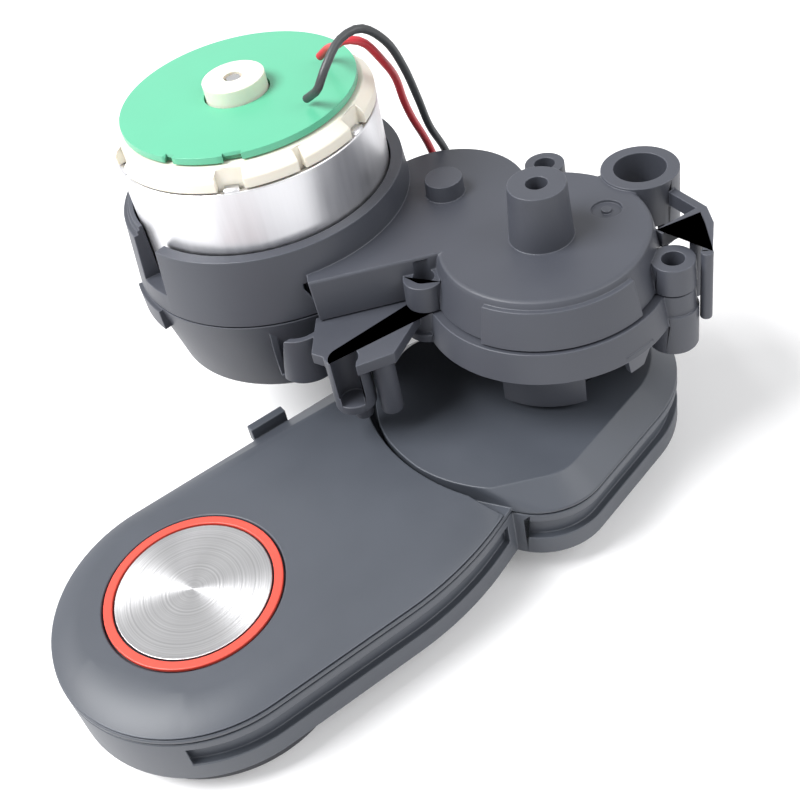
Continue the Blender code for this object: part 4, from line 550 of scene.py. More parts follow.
def wiring_trough():
    """The shelf with its trough, peg and stub, open to the front."""
    trough_bore = TROUGH_RADIUS - CLIP_WALL
    front = polar(1.3 * MM, TROUGH_FACING, TROUGH_CENTRE)
    open_end = polar(4 * TROUGH_RADIUS, TROUGH_FACING, TROUGH_CENTRE)
    peg_place = (TROUGH_CENTRE[0] - 1.1 * MM, TROUGH_CENTRE[1] - 0.7 * MM)
    trough = prism(SHELF, CASE_SPLIT - SHELF_THICKNESS, CASE_SPLIT)
    join(
        trough,
        cylinder(TROUGH_CENTRE, TROUGH_RADIUS, TROUGH_BOTTOM, CASE_SPLIT),
        cylinder(peg_place, 1.5 * MM, TROUGH_BOTTOM - 4 * MM, TROUGH_BOTTOM + MM),
        cylinder(STUB_PLACE, 1.75 * MM, STUB_BOTTOM, CASE_SPLIT - 0.5 * MM),
    )
    return cut(
        trough,
        cylinder(front, trough_bore, TROUGH_BOTTOM + 1.5 * MM, PARTING + MM),
        prism(bar(front, open_end, 2 * trough_bore - 0.6 * MM), TROUGH_BOTTOM + 3.0 * MM, PARTING + MM),
    )


def black_abs(name, colour, roughness):
    """Moulded black ABS: fine spark grain, uneven gloss and edges painted paler as a highlight."""
    made = bpy.data.materials.new(name)
    made.use_nodes = True
    nodes, links = made.node_tree.nodes, made.node_tree.links
    shader = nodes["Principled BSDF"]
    place = nodes.new("ShaderNodeTexCoord")
    cloud = nodes.new("ShaderNodeTexNoise")
    cloud.inputs["Scale"].default_value = 85.0
    cloud.inputs["Detail"].default_value = 6.0
    tone = nodes.new("ShaderNodeMix")
    tone.data_type = "RGBA"
    tone.inputs["A"].default_value = (*(c * 0.86 for c in colour), 1.0)
    tone.inputs["B"].default_value = (*(c * 1.14 for c in colour), 1.0)
    # Painted highlight: where the Bevel node's rounded normal turns away from the flat normal, the edge
    # colour is lifted towards 2.1 times the base.
    round_edge = nodes.new("ShaderNodeBevel")
    round_edge.samples = 4
    round_edge.inputs["Radius"].default_value = 0.0003
    flat = nodes.new("ShaderNodeNewGeometry")
    turn = nodes.new("ShaderNodeVectorMath")
    turn.operation = "DOT_PRODUCT"
    edge_highlight_mask = nodes.new("ShaderNodeMapRange")
    edge_highlight_mask.inputs["From Min"].default_value = 0.995
    edge_highlight_mask.inputs["From Max"].default_value = 0.86
    edge_highlight_mask.inputs["To Max"].default_value = 0.55
    painted_edge_highlight = nodes.new("ShaderNodeMix")
    painted_edge_highlight.data_type = "RGBA"
    painted_edge_highlight.inputs["B"].default_value = (*(c * 2.1 for c in colour), 1.0)
    gloss = nodes.new("ShaderNodeMapRange")
    gloss.inputs["To Min"].default_value = roughness - 0.07
    gloss.inputs["To Max"].default_value = roughness + 0.09
    grain = nodes.new("ShaderNodeTexNoise")
    grain.inputs["Scale"].default_value = 4200.0
    grain.inputs["Detail"].default_value = 2.0
    bump = nodes.new("ShaderNodeBump")
    bump.inputs["Strength"].default_value = 0.35
    bump.inputs["Distance"].default_value = 0.00002
    links.new(place.outputs["Object"], cloud.inputs["Vector"])
    links.new(place.outputs["Object"], grain.inputs["Vector"])
    links.new(cloud.outputs["Fac"], tone.inputs["Factor"])
    links.new(cloud.outputs["Fac"], gloss.inputs["Value"])
    links.new(round_edge.outputs["Normal"], turn.inputs[0])
    links.new(flat.outputs["Normal"], turn.inputs[1])
    links.new(turn.outputs["Value"], edge_highlight_mask.inputs["Value"])
    links.new(edge_highlight_mask.outputs["Result"], painted_edge_highlight.inputs["Factor"])
    links.new(tone.outputs["Result"], painted_edge_highlight.inputs["A"])
    links.new(grain.outputs["Fac"], bump.inputs["Height"])
    links.new(painted_edge_highlight.outputs["Result"], shader.inputs["Base Color"])
    links.new(gloss.outputs["Result"], shader.inputs["Roughness"])
    links.new(bump.outputs["Normal"], shader.inputs["Normal"])
    shader.inputs["Specular IOR Level"].default_value = 0.5
    made.diffuse_color = (*colour, 1.0)
    return made


def moulded(obj, name, body, slot, finish, edge, *replaced):
    """Finish a moulding: merged, its edges rounded, its finish and its place in the frame."""
    bm = bmesh.new()
    bm.from_mesh(obj.data)
    bmesh.ops.remove_doubles(bm, verts=bm.verts, dist=0.004 * MM)
    bmesh.ops.dissolve_limit(bm, angle_limit=math.radians(0.3), verts=bm.verts, edges=bm.edges)
    bmesh.ops.recalc_face_normals(bm, faces=bm.faces)
    bm.to_mesh(obj.data)
    bm.free()
    obj.name = name
    obj.data.name = name
    obj.data.materials.clear()
    obj.data.materials.append(finish)
    obj.data.shade_smooth()
    if edge:
        bevel = obj.modifiers.new("rounded edges", "BEVEL")
        bevel.limit_method = "ANGLE"
        bevel.angle_limit = math.radians(32)
        bevel.width = edge
        bevel.segments = 2
        bevel.use_clamp_overlap = False
    shading = obj.modifiers.new("even shading", "WEIGHTED_NORMAL")
    shading.keep_sharp = True
    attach(obj, body)
    if replaced:
        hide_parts(*replaced)
    return obj


case_abs = black_abs("case ABS", (0.050, 0.054, 0.068), 0.46)
top = CASE_SPLIT
lower_case = layered(
    [
        (circle(MOTOR_AXIS, CUP_FLOOR_RADIUS - ROOF_EDGE, CUP_PARTING_RADIUS), CUP_FLOOR),
        (circle(MOTOR_AXIS, CUP_FLOOR_RADIUS, CUP_PARTING_RADIUS), CUP_FLOOR + ROOF_EDGE),
        (circle(MOTOR_AXIS, CUP_PARTING_RADIUS), top),
    ]
)
lobe = layered(
    [
        (lobe_outline(LOBE_BASE_RADIUS), CASE_FLOOR),
        (lobe_outline(LOBE_PARTING_RADIUS + LOBE_LEDGE), top),
    ]
)
first_floor = FIRST_LOBE_FLOOR - CASE_WALL
lug = sector(MOTOR_AXIS, CUP_BORE + MM, LUG_RADIUS, *LUG_ANGLES)
leg_back = LOBE_BASE_RADIUS - 1.8 * MM
leg_tip = sector((0, 0), leg_back, LOBE_BASE_RADIUS - 0.8 * MM, 88, 96)
leg_root = sector((0, 0), leg_back, LOBE_BASE_RADIUS - 0.1 * MM, 84.5, 100)
leg = layered([(leg_tip, LEG_BOTTOM), (leg_root, CASE_FLOOR + MM)])
second_floor = SECOND_LOBE_FLOOR + CASE_WALL
tongues = []
for start in (13, 133, 253):
    outline = sector((0, 0), SKIRT_RADIUS - SKIRT_WALL, SKIRT_RADIUS, start, start + 59)
    tongues.append(prism(outline, CUP_FLOOR, CASE_FLOOR + 0.5 * MM))
join(
    lower_case,
    lobe,
    cylinder(FIRST_AXIS, FIRST_LOBE_RADIUS, first_floor, top),
    cylinder(SECOND_AXIS, SECOND_LOBE_RADIUS + CASE_DRAFT, SECOND_LOBE_FLOOR, top),
    prism(bridge(-CASE_DRAFT), CASE_FLOOR, top),
    cylinder((0, 0), STEM_RADIUS, STEM_BOTTOM, CASE_FLOOR + MM),
    boss(LEFT_EAR, EAR_RADIUS, CASE_FLOOR, top),
    cylinder(LEFT_EAR, EAR_RADIUS + MM, CASE_FLOOR, CASE_FLOOR + CASE_WALL),
    boss(RIGHT_EAR, EAR_RADIUS, CASE_FLOOR, top),
    cylinder(RIGHT_EAR, EAR_RADIUS + 0.5 * MM, EAR_FOOT, CASE_FLOOR + CASE_WALL),
    boss(REAR_EAR, EAR_RADIUS, CASE_FLOOR, top),
    prism(web_to(REAR_EAR, EAR_WEB), CASE_FLOOR, top),
    prism(lug, LUG_BOTTOM, top - CLEAR),
    leg,
    wiring_clip(),
    wiring_trough(),
    *tongues,
)
cut(
    lower_case,
    cylinder(MOTOR_AXIS, CUP_BORE, CAN_SEAT - CLEAR, PARTING + MM),
    cylinder(MOTOR_AXIS, CUP_LOWER_BORE, CUP_FLOOR + CUP_FLOOR_THICKNESS, PARTING + MM),
    cylinder(FIRST_AXIS, FIRST_LOBE_RADIUS - CASE_WALL, FIRST_LOBE_FLOOR, PARTING + MM),
    cylinder(SECOND_AXIS, SECOND_LOBE_RADIUS - SIDE_WALL, second_floor, PARTING + MM),
    cylinder((0, 0), CAVITY_RADIUS, CASE_FLOOR + CASE_WALL, PARTING + MM),
)
join(
    lower_case,
    cylinder(FIRST_AXIS, 2.4 * MM, CUP_FLOOR + 0.5 * MM, FIRST_WHEEL_BOTTOM - CLEAR),
    cylinder(SECOND_AXIS, 2.4 * MM, SECOND_LOBE_FLOOR + 0.5 * MM, SECOND_WHEEL_BOTTOM - CLEAR),
)
groove = ring(
    (0, 0),
    STEM_RADIUS - RETAINER_GROOVE,
    STEM_RADIUS + MM,
    RETAINER_BOTTOM - CLEAR,
    RETAINER_BOTTOM + RETAINER_THICKNESS + CLEAR,
    2.0,
)
cut(
    lower_case,
    cylinder((0, 0), STEM_BORE, 0, CASE_FLOOR + 2 * CASE_WALL),
    cylinder(FIRST_AXIS, AXLE_RADIUS + CLEAR, FIRST_LOBE_FLOOR, PARTING),
    cylinder(SECOND_AXIS, AXLE_RADIUS + CLEAR, SECOND_LOBE_FLOOR + CLEAR, PARTING),
    cylinder(LEFT_EAR, EAR_HOLE, 0, PARTING + MM),
    cylinder(RIGHT_EAR, EAR_HOLE, 0, PARTING + MM),
    cylinder(REAR_EAR, EAR_HOLE, 0, PARTING + MM),
    groove,
)
moulded(lower_case, "case_lower", "case", "black_housing", case_abs, 0.14 * MM, "lower_housing")

# Gears, axles and bushes in the case
# Hobbed acetal gears on ground steel pins, a brass pinion and sintered bronze bushes.
# They are hidden in the closed case, so the frame's own solids carry their finishes.


def plain_metal(name, colour, roughness, grain):
    """Machined metal: fine tool marks and uneven gloss."""
    made = bpy.data.materials.new(name)
    made.use_nodes = True
    nodes, links = made.node_tree.nodes, made.node_tree.links
    shader = nodes["Principled BSDF"]
    shader.inputs["Metallic"].default_value = 1.0
    place = nodes.new("ShaderNodeTexCoord")
    marks = nodes.new("ShaderNodeTexNoise")
    marks.inputs["Scale"].default_value = grain
    marks.inputs["Detail"].default_value = 4.0
    tone = nodes.new("ShaderNodeMix")
    tone.data_type = "RGBA"
    tone.inputs["A"].default_value = (*(c * 0.82 for c in colour), 1.0)
    tone.inputs["B"].default_value = (*colour, 1.0)
    gloss = nodes.new("ShaderNodeMapRange")
    gloss.inputs["To Min"].default_value = roughness - 0.08
    gloss.inputs["To Max"].default_value = roughness + 0.08
    bump = nodes.new("ShaderNodeBump")
    bump.inputs["Strength"].default_value = 0.2
    bump.inputs["Distance"].default_value = 0.00002
    links.new(place.outputs["Object"], marks.inputs["Vector"])
    links.new(marks.outputs["Fac"], tone.inputs["Factor"])
    links.new(marks.outputs["Fac"], gloss.inputs["Value"])
    links.new(marks.outputs["Fac"], bump.inputs["Height"])
    links.new(tone.outputs["Result"], shader.inputs["Base Color"])
    links.new(gloss.outputs["Result"], shader.inputs["Roughness"])
    links.new(bump.outputs["Normal"], shader.inputs["Normal"])
    made.diffuse_color = (*colour, 1.0)
    return made


def pale_plastic(name, colour, roughness, soft):
    """Moulded pale plastic: light passes a little into it, with faint flow marks."""
    made = bpy.data.materials.new(name)
    made.use_nodes = True
    nodes, links = made.node_tree.nodes, made.node_tree.links
    shader = nodes["Principled BSDF"]
    place = nodes.new("ShaderNodeTexCoord")
    flow = nodes.new("ShaderNodeTexNoise")
    flow.inputs["Scale"].default_value = 140.0
    flow.inputs["Detail"].default_value = 5.0
    tone = nodes.new("ShaderNodeMix")
    tone.data_type = "RGBA"
    tone.inputs["A"].default_value = (*(c * 0.93 for c in colour), 1.0)
    tone.inputs["B"].default_value = (*colour, 1.0)
    gloss = nodes.new("ShaderNodeMapRange")
    gloss.inputs["To Min"].default_value = roughness - 0.06
    gloss.inputs["To Max"].default_value = roughness + 0.08
    grain = nodes.new("ShaderNodeTexNoise")
    grain.inputs["Scale"].default_value = 3000.0
    bump = nodes.new("ShaderNodeBump")
    bump.inputs["Strength"].default_value = 0.2
    bump.inputs["Distance"].default_value = 0.00002
    shader.inputs["Subsurface Weight"].default_value = soft
    shader.inputs["Subsurface Radius"].default_value = (0.0012, 0.0009, 0.0006)
    shader.inputs["Subsurface Scale"].default_value = 1.0
    links.new(place.outputs["Object"], flow.inputs["Vector"])
    links.new(place.outputs["Object"], grain.inputs["Vector"])
    links.new(flow.outputs["Fac"], tone.inputs["Factor"])
    links.new(flow.outputs["Fac"], gloss.inputs["Value"])
    links.new(grain.outputs["Fac"], bump.inputs["Height"])
    links.new(tone.outputs["Result"], shader.inputs["Base Color"])
    links.new(gloss.outputs["Result"], shader.inputs["Roughness"])
    links.new(bump.outputs["Normal"], shader.inputs["Normal"])
    made.diffuse_color = (*colour, 1.0)
    return made


def dress(finish, *names):
    """Give the frame's own solids a finish."""
    for name in names:
        slots = NODES[name].material_slots
        for slot in slots:
            slot.material = finish


gear_acetal = pale_plastic("gear acetal", (0.80, 0.78, 0.72), 0.36, 0.15)
bearing_bronze = plain_metal("sintered bronze", (0.50, 0.33, 0.15), 0.46, 900.0)
pin_steel = plain_metal("ground steel", (0.60, 0.60, 0.62), 0.26, 500.0)
dress(gear_acetal, "first_gear", "second_gear", "output_gear")
dress(bearing_bronze, "output_lower_bush", "output_upper_bush", "hub_lower_bush", "hub_upper_bush")
dress(bearing_bronze, "motor_front_bush", "motor_rear_bush", "motor_pinion")
dress(pin_steel, "first_axle", "second_axle", "output_shaft", "rotor_shaft")

# Upper half of the gear case
# Black ABS, moulded in one: the cup's upper ring, the gear cover, its bosses and the
# bracket at the back. It snaps over the lower half and is screwed through the ears.
PANEL_RISE = 0.8 * MM
PANEL_TOP = 36.4 * MM
PANEL_ANGLES = (18.0, 99.0)
INNER_CUP_WALL = 0.9 * MM
NOTCH_ANGLES = (-3.0, 13.0)
NOTCH_FLOOR = 34.0 * MM
TONGUE_ANGLES = (-35.0, -3.0)
TONGUE_TOP = 43.6 * MM
TONGUE_WALL = 1.2 * MM
TALL_BOSS_TOP = 46.8 * MM
TALL_BOSS_BASE_RADIUS = 4.9 * MM
TALL_BOSS_TOP_RADIUS = 4.3 * MM
TALL_BOSS_HOLE = 1.6 * MM
TALL_BOSS_HOLE_DEPTH = 7.0 * MM
SHORT_BOSS_RADIUS = 3.0 * MM
SHORT_BOSS_RISE = 2.8 * MM
TUBE_CENTRE = (-21.0 * MM, -1.3 * MM)
TUBE_TOP = 38.0 * MM
TUBE_LENGTH = 12.0 * MM
TUBE_RADIUS = 6.0 * MM
TUBE_BORE = 4.0 * MM
TUBE_WEB = 5.0 * MM
TUBE_WEB_START = (-15.6 * MM, -7.6 * MM)
TUBE_WEB_END = (-23.3 * MM, -6.5 * MM)
DIMPLE = (-10.6 * MM, 2.4 * MM)
BRACKET_ROUTE = [
    (-21.9 * MM, 2.5 * MM),
    (-21.3 * MM, 11.2 * MM),
    (-19.3 * MM, 14.3 * MM),
    (-14.1 * MM, 18.9 * MM),
]
BRACKET_WALL = 1.4 * MM
BRACKET_BOTTOM = 33.5 * MM
BRACKET_TOP = 36.0 * MM
BRACKET_STRUT_START = (-13.0 * MM, 10.6 * MM)
PIN_RADIUS = 0.9 * MM
LONG_PIN_LENGTH = 12.0 * MM
SHORT_PIN = (-16.8 * MM, 14.2 * MM)
FACE_WIDTH = 3.4 * MM
OUTPUT_GEAR_BOTTOM = 31.0 * MM
UPPER_BUSH_SEAT = STEM_BORE
UPPER_BUSH_BOTTOM = OUTPUT_GEAR_BOTTOM + FACE_WIDTH + 0.6 * MM
SECOND_PINION_TOP = OUTPUT_GEAR_BOTTOM + FACE_WIDTH + CLEAR


def ribbon(points, width):
    """The outline of a bent rib along some points, mitred at its bends."""
    left = []
    right = []
    for i, point in enumerate(points):
        before = Vector(points[max(i - 1, 0)])
        after = Vector(points[min(i + 1, len(points) - 1)])
        here = Vector(point)
        ways = [way.normalized() for way in (here - before, after - here) if way.length > 0]
        along = (ways[0] + ways[-1]).normalized()
        reach = width / 2 / along.dot(ways[0])
        across = Vector((-along.y, along.x)) * reach
        left.append(tuple(here + across))
        right.append(tuple(here - across))
    return right + left[::-1]


def wedge(radius, start, stop):
    """The outline of a slice of a disc about the pivot axis."""
    return [(0.0, 0.0)] + arc((0, 0), radius, start, stop)


def case_bosses():
    """The solids that stand on the gear cover."""
    roof = CASE_TOP - CASE_WALL
    tube_web_top = TUBE_TOP - 3 * MM
    tongue = sector(MOTOR_AXIS, CUP_BORE - MM, CUP_BORE + TONGUE_WALL, *TONGUE_ANGLES)
    tip = sector(MOTOR_AXIS, CUP_BORE - MM, CUP_BORE + 0.6 * TONGUE_WALL, *TONGUE_ANGLES)
    tube = cylinder(TUBE_CENTRE, TUBE_RADIUS, TUBE_TOP - TUBE_LENGTH, TUBE_TOP)
    cut(tube, prism(lobe_outline(LOBE_BASE_RADIUS + CLEAR), 0, PARTING))
    return [
        cylinder((0, 0), TALL_BOSS_BASE_RADIUS, roof, TALL_BOSS_TOP, TALL_BOSS_TOP_RADIUS),
        boss(SECOND_AXIS, SHORT_BOSS_RADIUS, roof, CASE_TOP + SHORT_BOSS_RISE),
        boss(LEFT_EAR, EAR_RADIUS, PARTING, EAR_TOP),
        boss(RIGHT_EAR, EAR_RADIUS, PARTING, EAR_TOP),
        boss(REAR_EAR, EAR_RADIUS, PARTING, EAR_TOP + MM),
        prism(web_to(REAR_EAR, EAR_WEB), PARTING, EAR_TOP - MM),
        prism(web_to(RIGHT_EAR, EAR_WEB), PARTING, EAR_TOP - MM),
        prism(web_to(LEFT_EAR, EAR_WEB), PARTING, EAR_TOP - MM),
        tube,
        prism(web_to(TUBE_CENTRE, TUBE_WEB), PARTING, tube_web_top),
        prism(bar(TUBE_WEB_START, TUBE_WEB_END, SIDE_WALL), PARTING, tube_web_top),
        prism(ribbon(BRACKET_ROUTE, BRACKET_WALL), BRACKET_BOTTOM, BRACKET_TOP),
        prism(bar(BRACKET_STRUT_START, BRACKET_ROUTE[1], BRACKET_WALL), BRACKET_BOTTOM, BRACKET_TOP),
        prism(bar(BRACKET_ROUTE[2], SHORT_PIN, BRACKET_WALL), BRACKET_BOTTOM, BRACKET_TOP - MM),
        cylinder(BRACKET_ROUTE[-1], PIN_RADIUS, BRACKET_TOP - LONG_PIN_LENGTH, BRACKET_TOP),
        cylinder(SHORT_PIN, PIN_RADIUS, BRACKET_TOP - LONG_PIN_LENGTH, BRACKET_TOP - MM),
        prism(tongue, CUP_RIM - 1.5 * MM, TONGUE_TOP - 0.6 * MM),
        prism(tip, CUP_RIM - 2.0 * MM, TONGUE_TOP),
    ]


roof = CASE_TOP - CASE_WALL
upper_case = layered(
    [
        (circle(MOTOR_AXIS, CUP_PARTING_RADIUS), PARTING),
        (circle(MOTOR_AXIS, CUP_WAIST_RADIUS, CUP_PARTING_RADIUS), CASE_TOP),
        (circle(MOTOR_AXIS, CUP_RIM_RADIUS, CUP_PARTING_RADIUS), CUP_RIM),
    ]
)
lobe = layered(
    [
        (lobe_outline(LOBE_PARTING_RADIUS), PARTING),
        (lobe_outline(LOBE_TOP_RADIUS), CASE_TOP - ROOF_EDGE),
        (lobe_outline(LOBE_TOP_RADIUS - 0.3 * ROOF_EDGE), CASE_TOP - 0.3 * ROOF_EDGE),
        (lobe_outline(LOBE_TOP_RADIUS - ROOF_EDGE), CASE_TOP),
    ]
)
panel = layered(
    [
        (wedge(LOBE_PARTING_RADIUS + PANEL_RISE, *PANEL_ANGLES), PARTING),
        (wedge(LOBE_TOP_RADIUS + PANEL_RISE, *PANEL_ANGLES), PANEL_TOP),
    ]
)
size = SECOND_LOBE_RADIUS
second = layered(
    [
        (circle(SECOND_AXIS, SECOND_LOBE_RADIUS + CASE_DRAFT, size), PARTING),
        (circle(SECOND_AXIS, SECOND_LOBE_RADIUS, size), CASE_TOP - 0.4 * ROOF_EDGE),
        (circle(SECOND_AXIS, SECOND_LOBE_RADIUS - 0.4 * ROOF_EDGE, size), CASE_TOP),
    ]
)
middle = layered(
    [
        (bridge(-CASE_DRAFT), PARTING),
        (bridge(), CASE_TOP - 0.4 * ROOF_EDGE),
        (bridge(0.4 * ROOF_EDGE), CASE_TOP),
    ]
)
join(upper_case, lobe, second, middle, panel, *case_bosses())
cavity = cylinder((0, 0), CAVITY_RADIUS, PARTING - MM, roof)
join(
    cavity,
    cylinder(SECOND_AXIS, SECOND_LOBE_RADIUS - SIDE_WALL, PARTING - MM, roof),
    prism(bridge(2.2 * MM), PARTING - MM, roof),
)
cut(cavity, cylinder(MOTOR_AXIS, CUP_BORE + INNER_CUP_WALL, 0, CUP_RIM + MM))
notch = sector(MOTOR_AXIS, CUP_BORE - MM, CUP_PARTING_RADIUS + MM, *NOTCH_ANGLES)
dimple = ring(DIMPLE, 0.8 * MM, 2.3 * MM, CASE_TOP - 0.5 * MM, CASE_TOP + MM)
cut(
    upper_case,
    cavity,
    cylinder(MOTOR_AXIS, CUP_BORE, PARTING - MM, CUP_RIM + 3 * MM),
    prism(notch, NOTCH_FLOOR, CUP_RIM + MM),
    cylinder((0, 0), TALL_BOSS_HOLE, TALL_BOSS_TOP - TALL_BOSS_HOLE_DEPTH, TALL_BOSS_TOP + MM),
    cylinder(TUBE_CENTRE, TUBE_BORE, 0, TUBE_TOP + MM),
    cylinder(LEFT_EAR, EAR_HOLE, 0, EAR_TOP + 2 * MM),
    cylinder(RIGHT_EAR, EAR_HOLE, 0, EAR_TOP + 2 * MM),
    cylinder(REAR_EAR, EAR_HOLE, 0, EAR_TOP + 2 * MM),
    dimple,
)
bush_wall = cylinder((0, 0), UPPER_BUSH_SEAT + 1.2 * MM, UPPER_BUSH_BOTTOM, roof + 0.5 * MM)
axle_wall = cylinder(SECOND_AXIS, 2.6 * MM, SECOND_PINION_TOP + CLEAR, roof + 0.5 * MM)
join(upper_case, bush_wall, axle_wall)
cut(
    upper_case,
    cylinder((0, 0), UPPER_BUSH_SEAT, PARTING, roof),
    cylinder(SECOND_AXIS, AXLE_RADIUS + CLEAR, PARTING, CASE_TOP + CLEAR),
)
moulded(upper_case, "case_upper", "case", "black_housing", case_abs, 0.14 * MM, "upper_housing")

# Motor can and rotor
# The can is drawn from zinc-plated sheet steel, open at the top, with small tabs
# folded in over the end cap. The rotor, its magnets and its brushes are inside.
CAN_WALL = 1.0 * MM
CAN_CORNER = 1.6 * MM
NOSE_RADIUS_TOP = 4.6 * MM
NOSE_BOTTOM = CAN_SEAT - 1.6 * MM
MOTOR_SHAFT_RADIUS = 1.15 * MM
FRONT_SEAT = MOTOR_SHAFT_RADIUS + RUNNING + BUSH_WALL + CLEAR
RIM_NOTCH_ANGLES = (-5.0, 55.0, 117.0, 175.0, 235.0, 295.0)
TAB_WIDTH = 2.2 * MM


def eased(profile, radius, steps=4):
    """A turned profile with each of its corners rounded."""
    points = []
    count = len(profile)
    for i, (r, z) in enumerate(profile):
        here = Vector((r, z))
        before = Vector(profile[i - 1]) - here
        after = Vector(profile[(i + 1) % count]) - here
        reach = min(radius, before.length * 0.45, after.length * 0.45)
        if r <= 0 or i in (0, count - 1) and min(p[0] for p in profile) <= 0:
            points.append((r, z))
            continue
        start = here + before.normalized() * reach
        stop = here + after.normalized() * reach
        for step in range(steps + 1):
            share = step / steps
            a = start.lerp(here, share)
            b = here.lerp(stop, share)
            points.append(tuple(a.lerp(b, share)))
    return points


def brushed_can(name, colour, roughness):
    """Plated sheet steel, drawn upwards: faint upright streaks and a soft gloss."""
    made = plain_metal(name, colour, roughness, 60.0)
    nodes, links = made.node_tree.nodes, made.node_tree.links
    place = nodes["Texture Coordinate"]
    marks = nodes["Noise Texture"]
    stretch = nodes.new("ShaderNodeMapping")
    stretch.inputs["Scale"].default_value = (14.0, 14.0, 0.8)
    links.new(place.outputs["Object"], stretch.inputs["Vector"])
    links.new(stretch.outputs["Vector"], marks.inputs["Vector"])
    nodes["Bump"].inputs["Strength"].default_value = 0.08
    return made


can_steel = brushed_can("plated can steel", (0.74, 0.74, 0.76), 0.36)
can_profile = eased(
    [
        (MOTOR_SHAFT_RADIUS + 0.8 * MM, NOSE_BOTTOM),
        (NOSE_RADIUS_TOP, NOSE_BOTTOM),
        (NOSE_RADIUS_TOP, CAN_SEAT),
        (CAN_RADIUS - CAN_CORNER, CAN_SEAT),
        (CAN_RADIUS, CAN_SEAT + CAN_CORNER),
        (CAN_RADIUS, CAN_TOP),
        (CAN_RADIUS - CAN_WALL, CAN_TOP),
        (CAN_RADIUS - CAN_WALL, CAN_SEAT + CAN_WALL),
        (FRONT_SEAT, CAN_SEAT + CAN_WALL),
        (FRONT_SEAT, NOSE_BOTTOM + 0.6 * MM),
        (MOTOR_SHAFT_RADIUS + 0.8 * MM, NOSE_BOTTOM + 0.6 * MM),
    ],
    0.3 * MM,
)
can = turned(can_profile, MOTOR_AXIS)
tabs = []
for angle in RIM_NOTCH_ANGLES:
    inner = polar(CAN_RADIUS - 1.3 * MM, angle, MOTOR_AXIS)
    outer = polar(CAN_RADIUS - 0.12 * MM, angle, MOTOR_AXIS)
    tabs.append(prism(bar(inner, outer, TAB_WIDTH), CAN_TOP - 0.5 * MM, CAN_TOP + 0.65 * MM))
join(can, *tabs)
moulded(can, "motor_can_drawn", "case", "can_steel", can_steel, 0.0, "motor_can")
magnet_ferrite = plain_metal("magnet ferrite", (0.09, 0.09, 0.10), 0.6, 700.0)
magnet_ferrite.node_tree.nodes["Principled BSDF"].inputs["Metallic"].default_value = 0.2
carbon_block = plain_metal("carbon", (0.03, 0.03, 0.03), 0.62, 900.0)
carbon_block.node_tree.nodes["Principled BSDF"].inputs["Metallic"].default_value = 0.1
rotor_steel = plain_metal("rotor laminations", (0.50, 0.50, 0.51), 0.4, 400.0)
copper = plain_metal("copper", (0.75, 0.36, 0.2), 0.3, 500.0)
dress(magnet_ferrite, "magnet_front", "magnet_rear")
dress(carbon_block, "carbon_brush_left", "carbon_brush_right")
dress(rotor_steel, "rotor_core")
dress(copper, "commutator")

# Motor end cap
# Moulded in cream nylon, chamfered all round and notched where the can's tabs fold
# in. Its round boss holds the rear bush and stands through the board.
ENDCAP_CHAMFER = 1.5 * MM
ENDCAP_WALL = 1.5 * MM
ENDCAP_BOSS_RADIUS = 5.0 * MM
ENDCAP_BOSS_RISE = 2.5 * MM
RIM_NOTCH_WIDTH = 4.2 * MM
RIM_NOTCH_DEPTH = 1.4 * MM
RIM_SLIT_ANGLE = 85.0
RIM_SLIT_WIDTH = 1.0 * MM
BOARD_THICKNESS = 1.15 * MM
BOARD_BOTTOM = PCB_TOP - BOARD_THICKNESS


def radial_slot(inner_radius, angle, width):
    """A cutter that opens the motor's edge from a radius outwards."""
    inner = polar(inner_radius, angle, MOTOR_AXIS)
    outer = polar(CAN_RADIUS + 2.0 * MM, angle, MOTOR_AXIS)
    return prism(bar(inner, outer, width), CAN_TOP, PCB_TOP + MM)


def rim_notches():
    """Cutters for the end cap's rim, where the can's tabs are folded in."""
    inner_radius = CAN_RADIUS - RIM_NOTCH_DEPTH
    notches = [radial_slot(inner_radius, angle, RIM_NOTCH_WIDTH) for angle in RIM_NOTCH_ANGLES]
    return notches + [radial_slot(inner_radius, RIM_SLIT_ANGLE, RIM_SLIT_WIDTH)]


cap_low = CAN_TOP + CLEAR
cap_high = BOARD_BOTTOM - CLEAR
spigot = CAN_RADIUS - CAN_WALL - CLEAR
cap_profile = eased(
    [
        (0, cap_high - ENDCAP_WALL),
        (spigot - ENDCAP_WALL, cap_high - ENDCAP_WALL),
        (spigot - ENDCAP_WALL, cap_low - 2.0 * MM),
        (spigot, cap_low - 2.0 * MM),
        (spigot, cap_low),
        (CAN_RADIUS, cap_low),
        (CAN_RADIUS, cap_high - ENDCAP_CHAMFER),
        (CAN_RADIUS - ENDCAP_CHAMFER, cap_high),
        (ENDCAP_BOSS_RADIUS, cap_high),
        (ENDCAP_BOSS_RADIUS, PCB_TOP + ENDCAP_BOSS_RISE),
        (0, PCB_TOP + ENDCAP_BOSS_RISE),
    ],
    0.25 * MM,
)
end_cap = turned(cap_profile, MOTOR_AXIS)
cut(
    end_cap,
    cylinder(MOTOR_AXIS, FRONT_SEAT, cap_low - 3 * MM, cap_low + 2.8 * MM),
    cylinder(MOTOR_AXIS, MOTOR_SHAFT_RADIUS + RUNNING, cap_low, 2 * PARTING),
    *rim_notches(),
)
cream_nylon = pale_plastic("cream nylon", (0.83, 0.79, 0.69), 0.42, 0.2)
moulded(end_cap, "motor_end_cap_moulded", "case", "cream_plastic", cream_nylon, 0.1 * MM, "motor_end_cap")

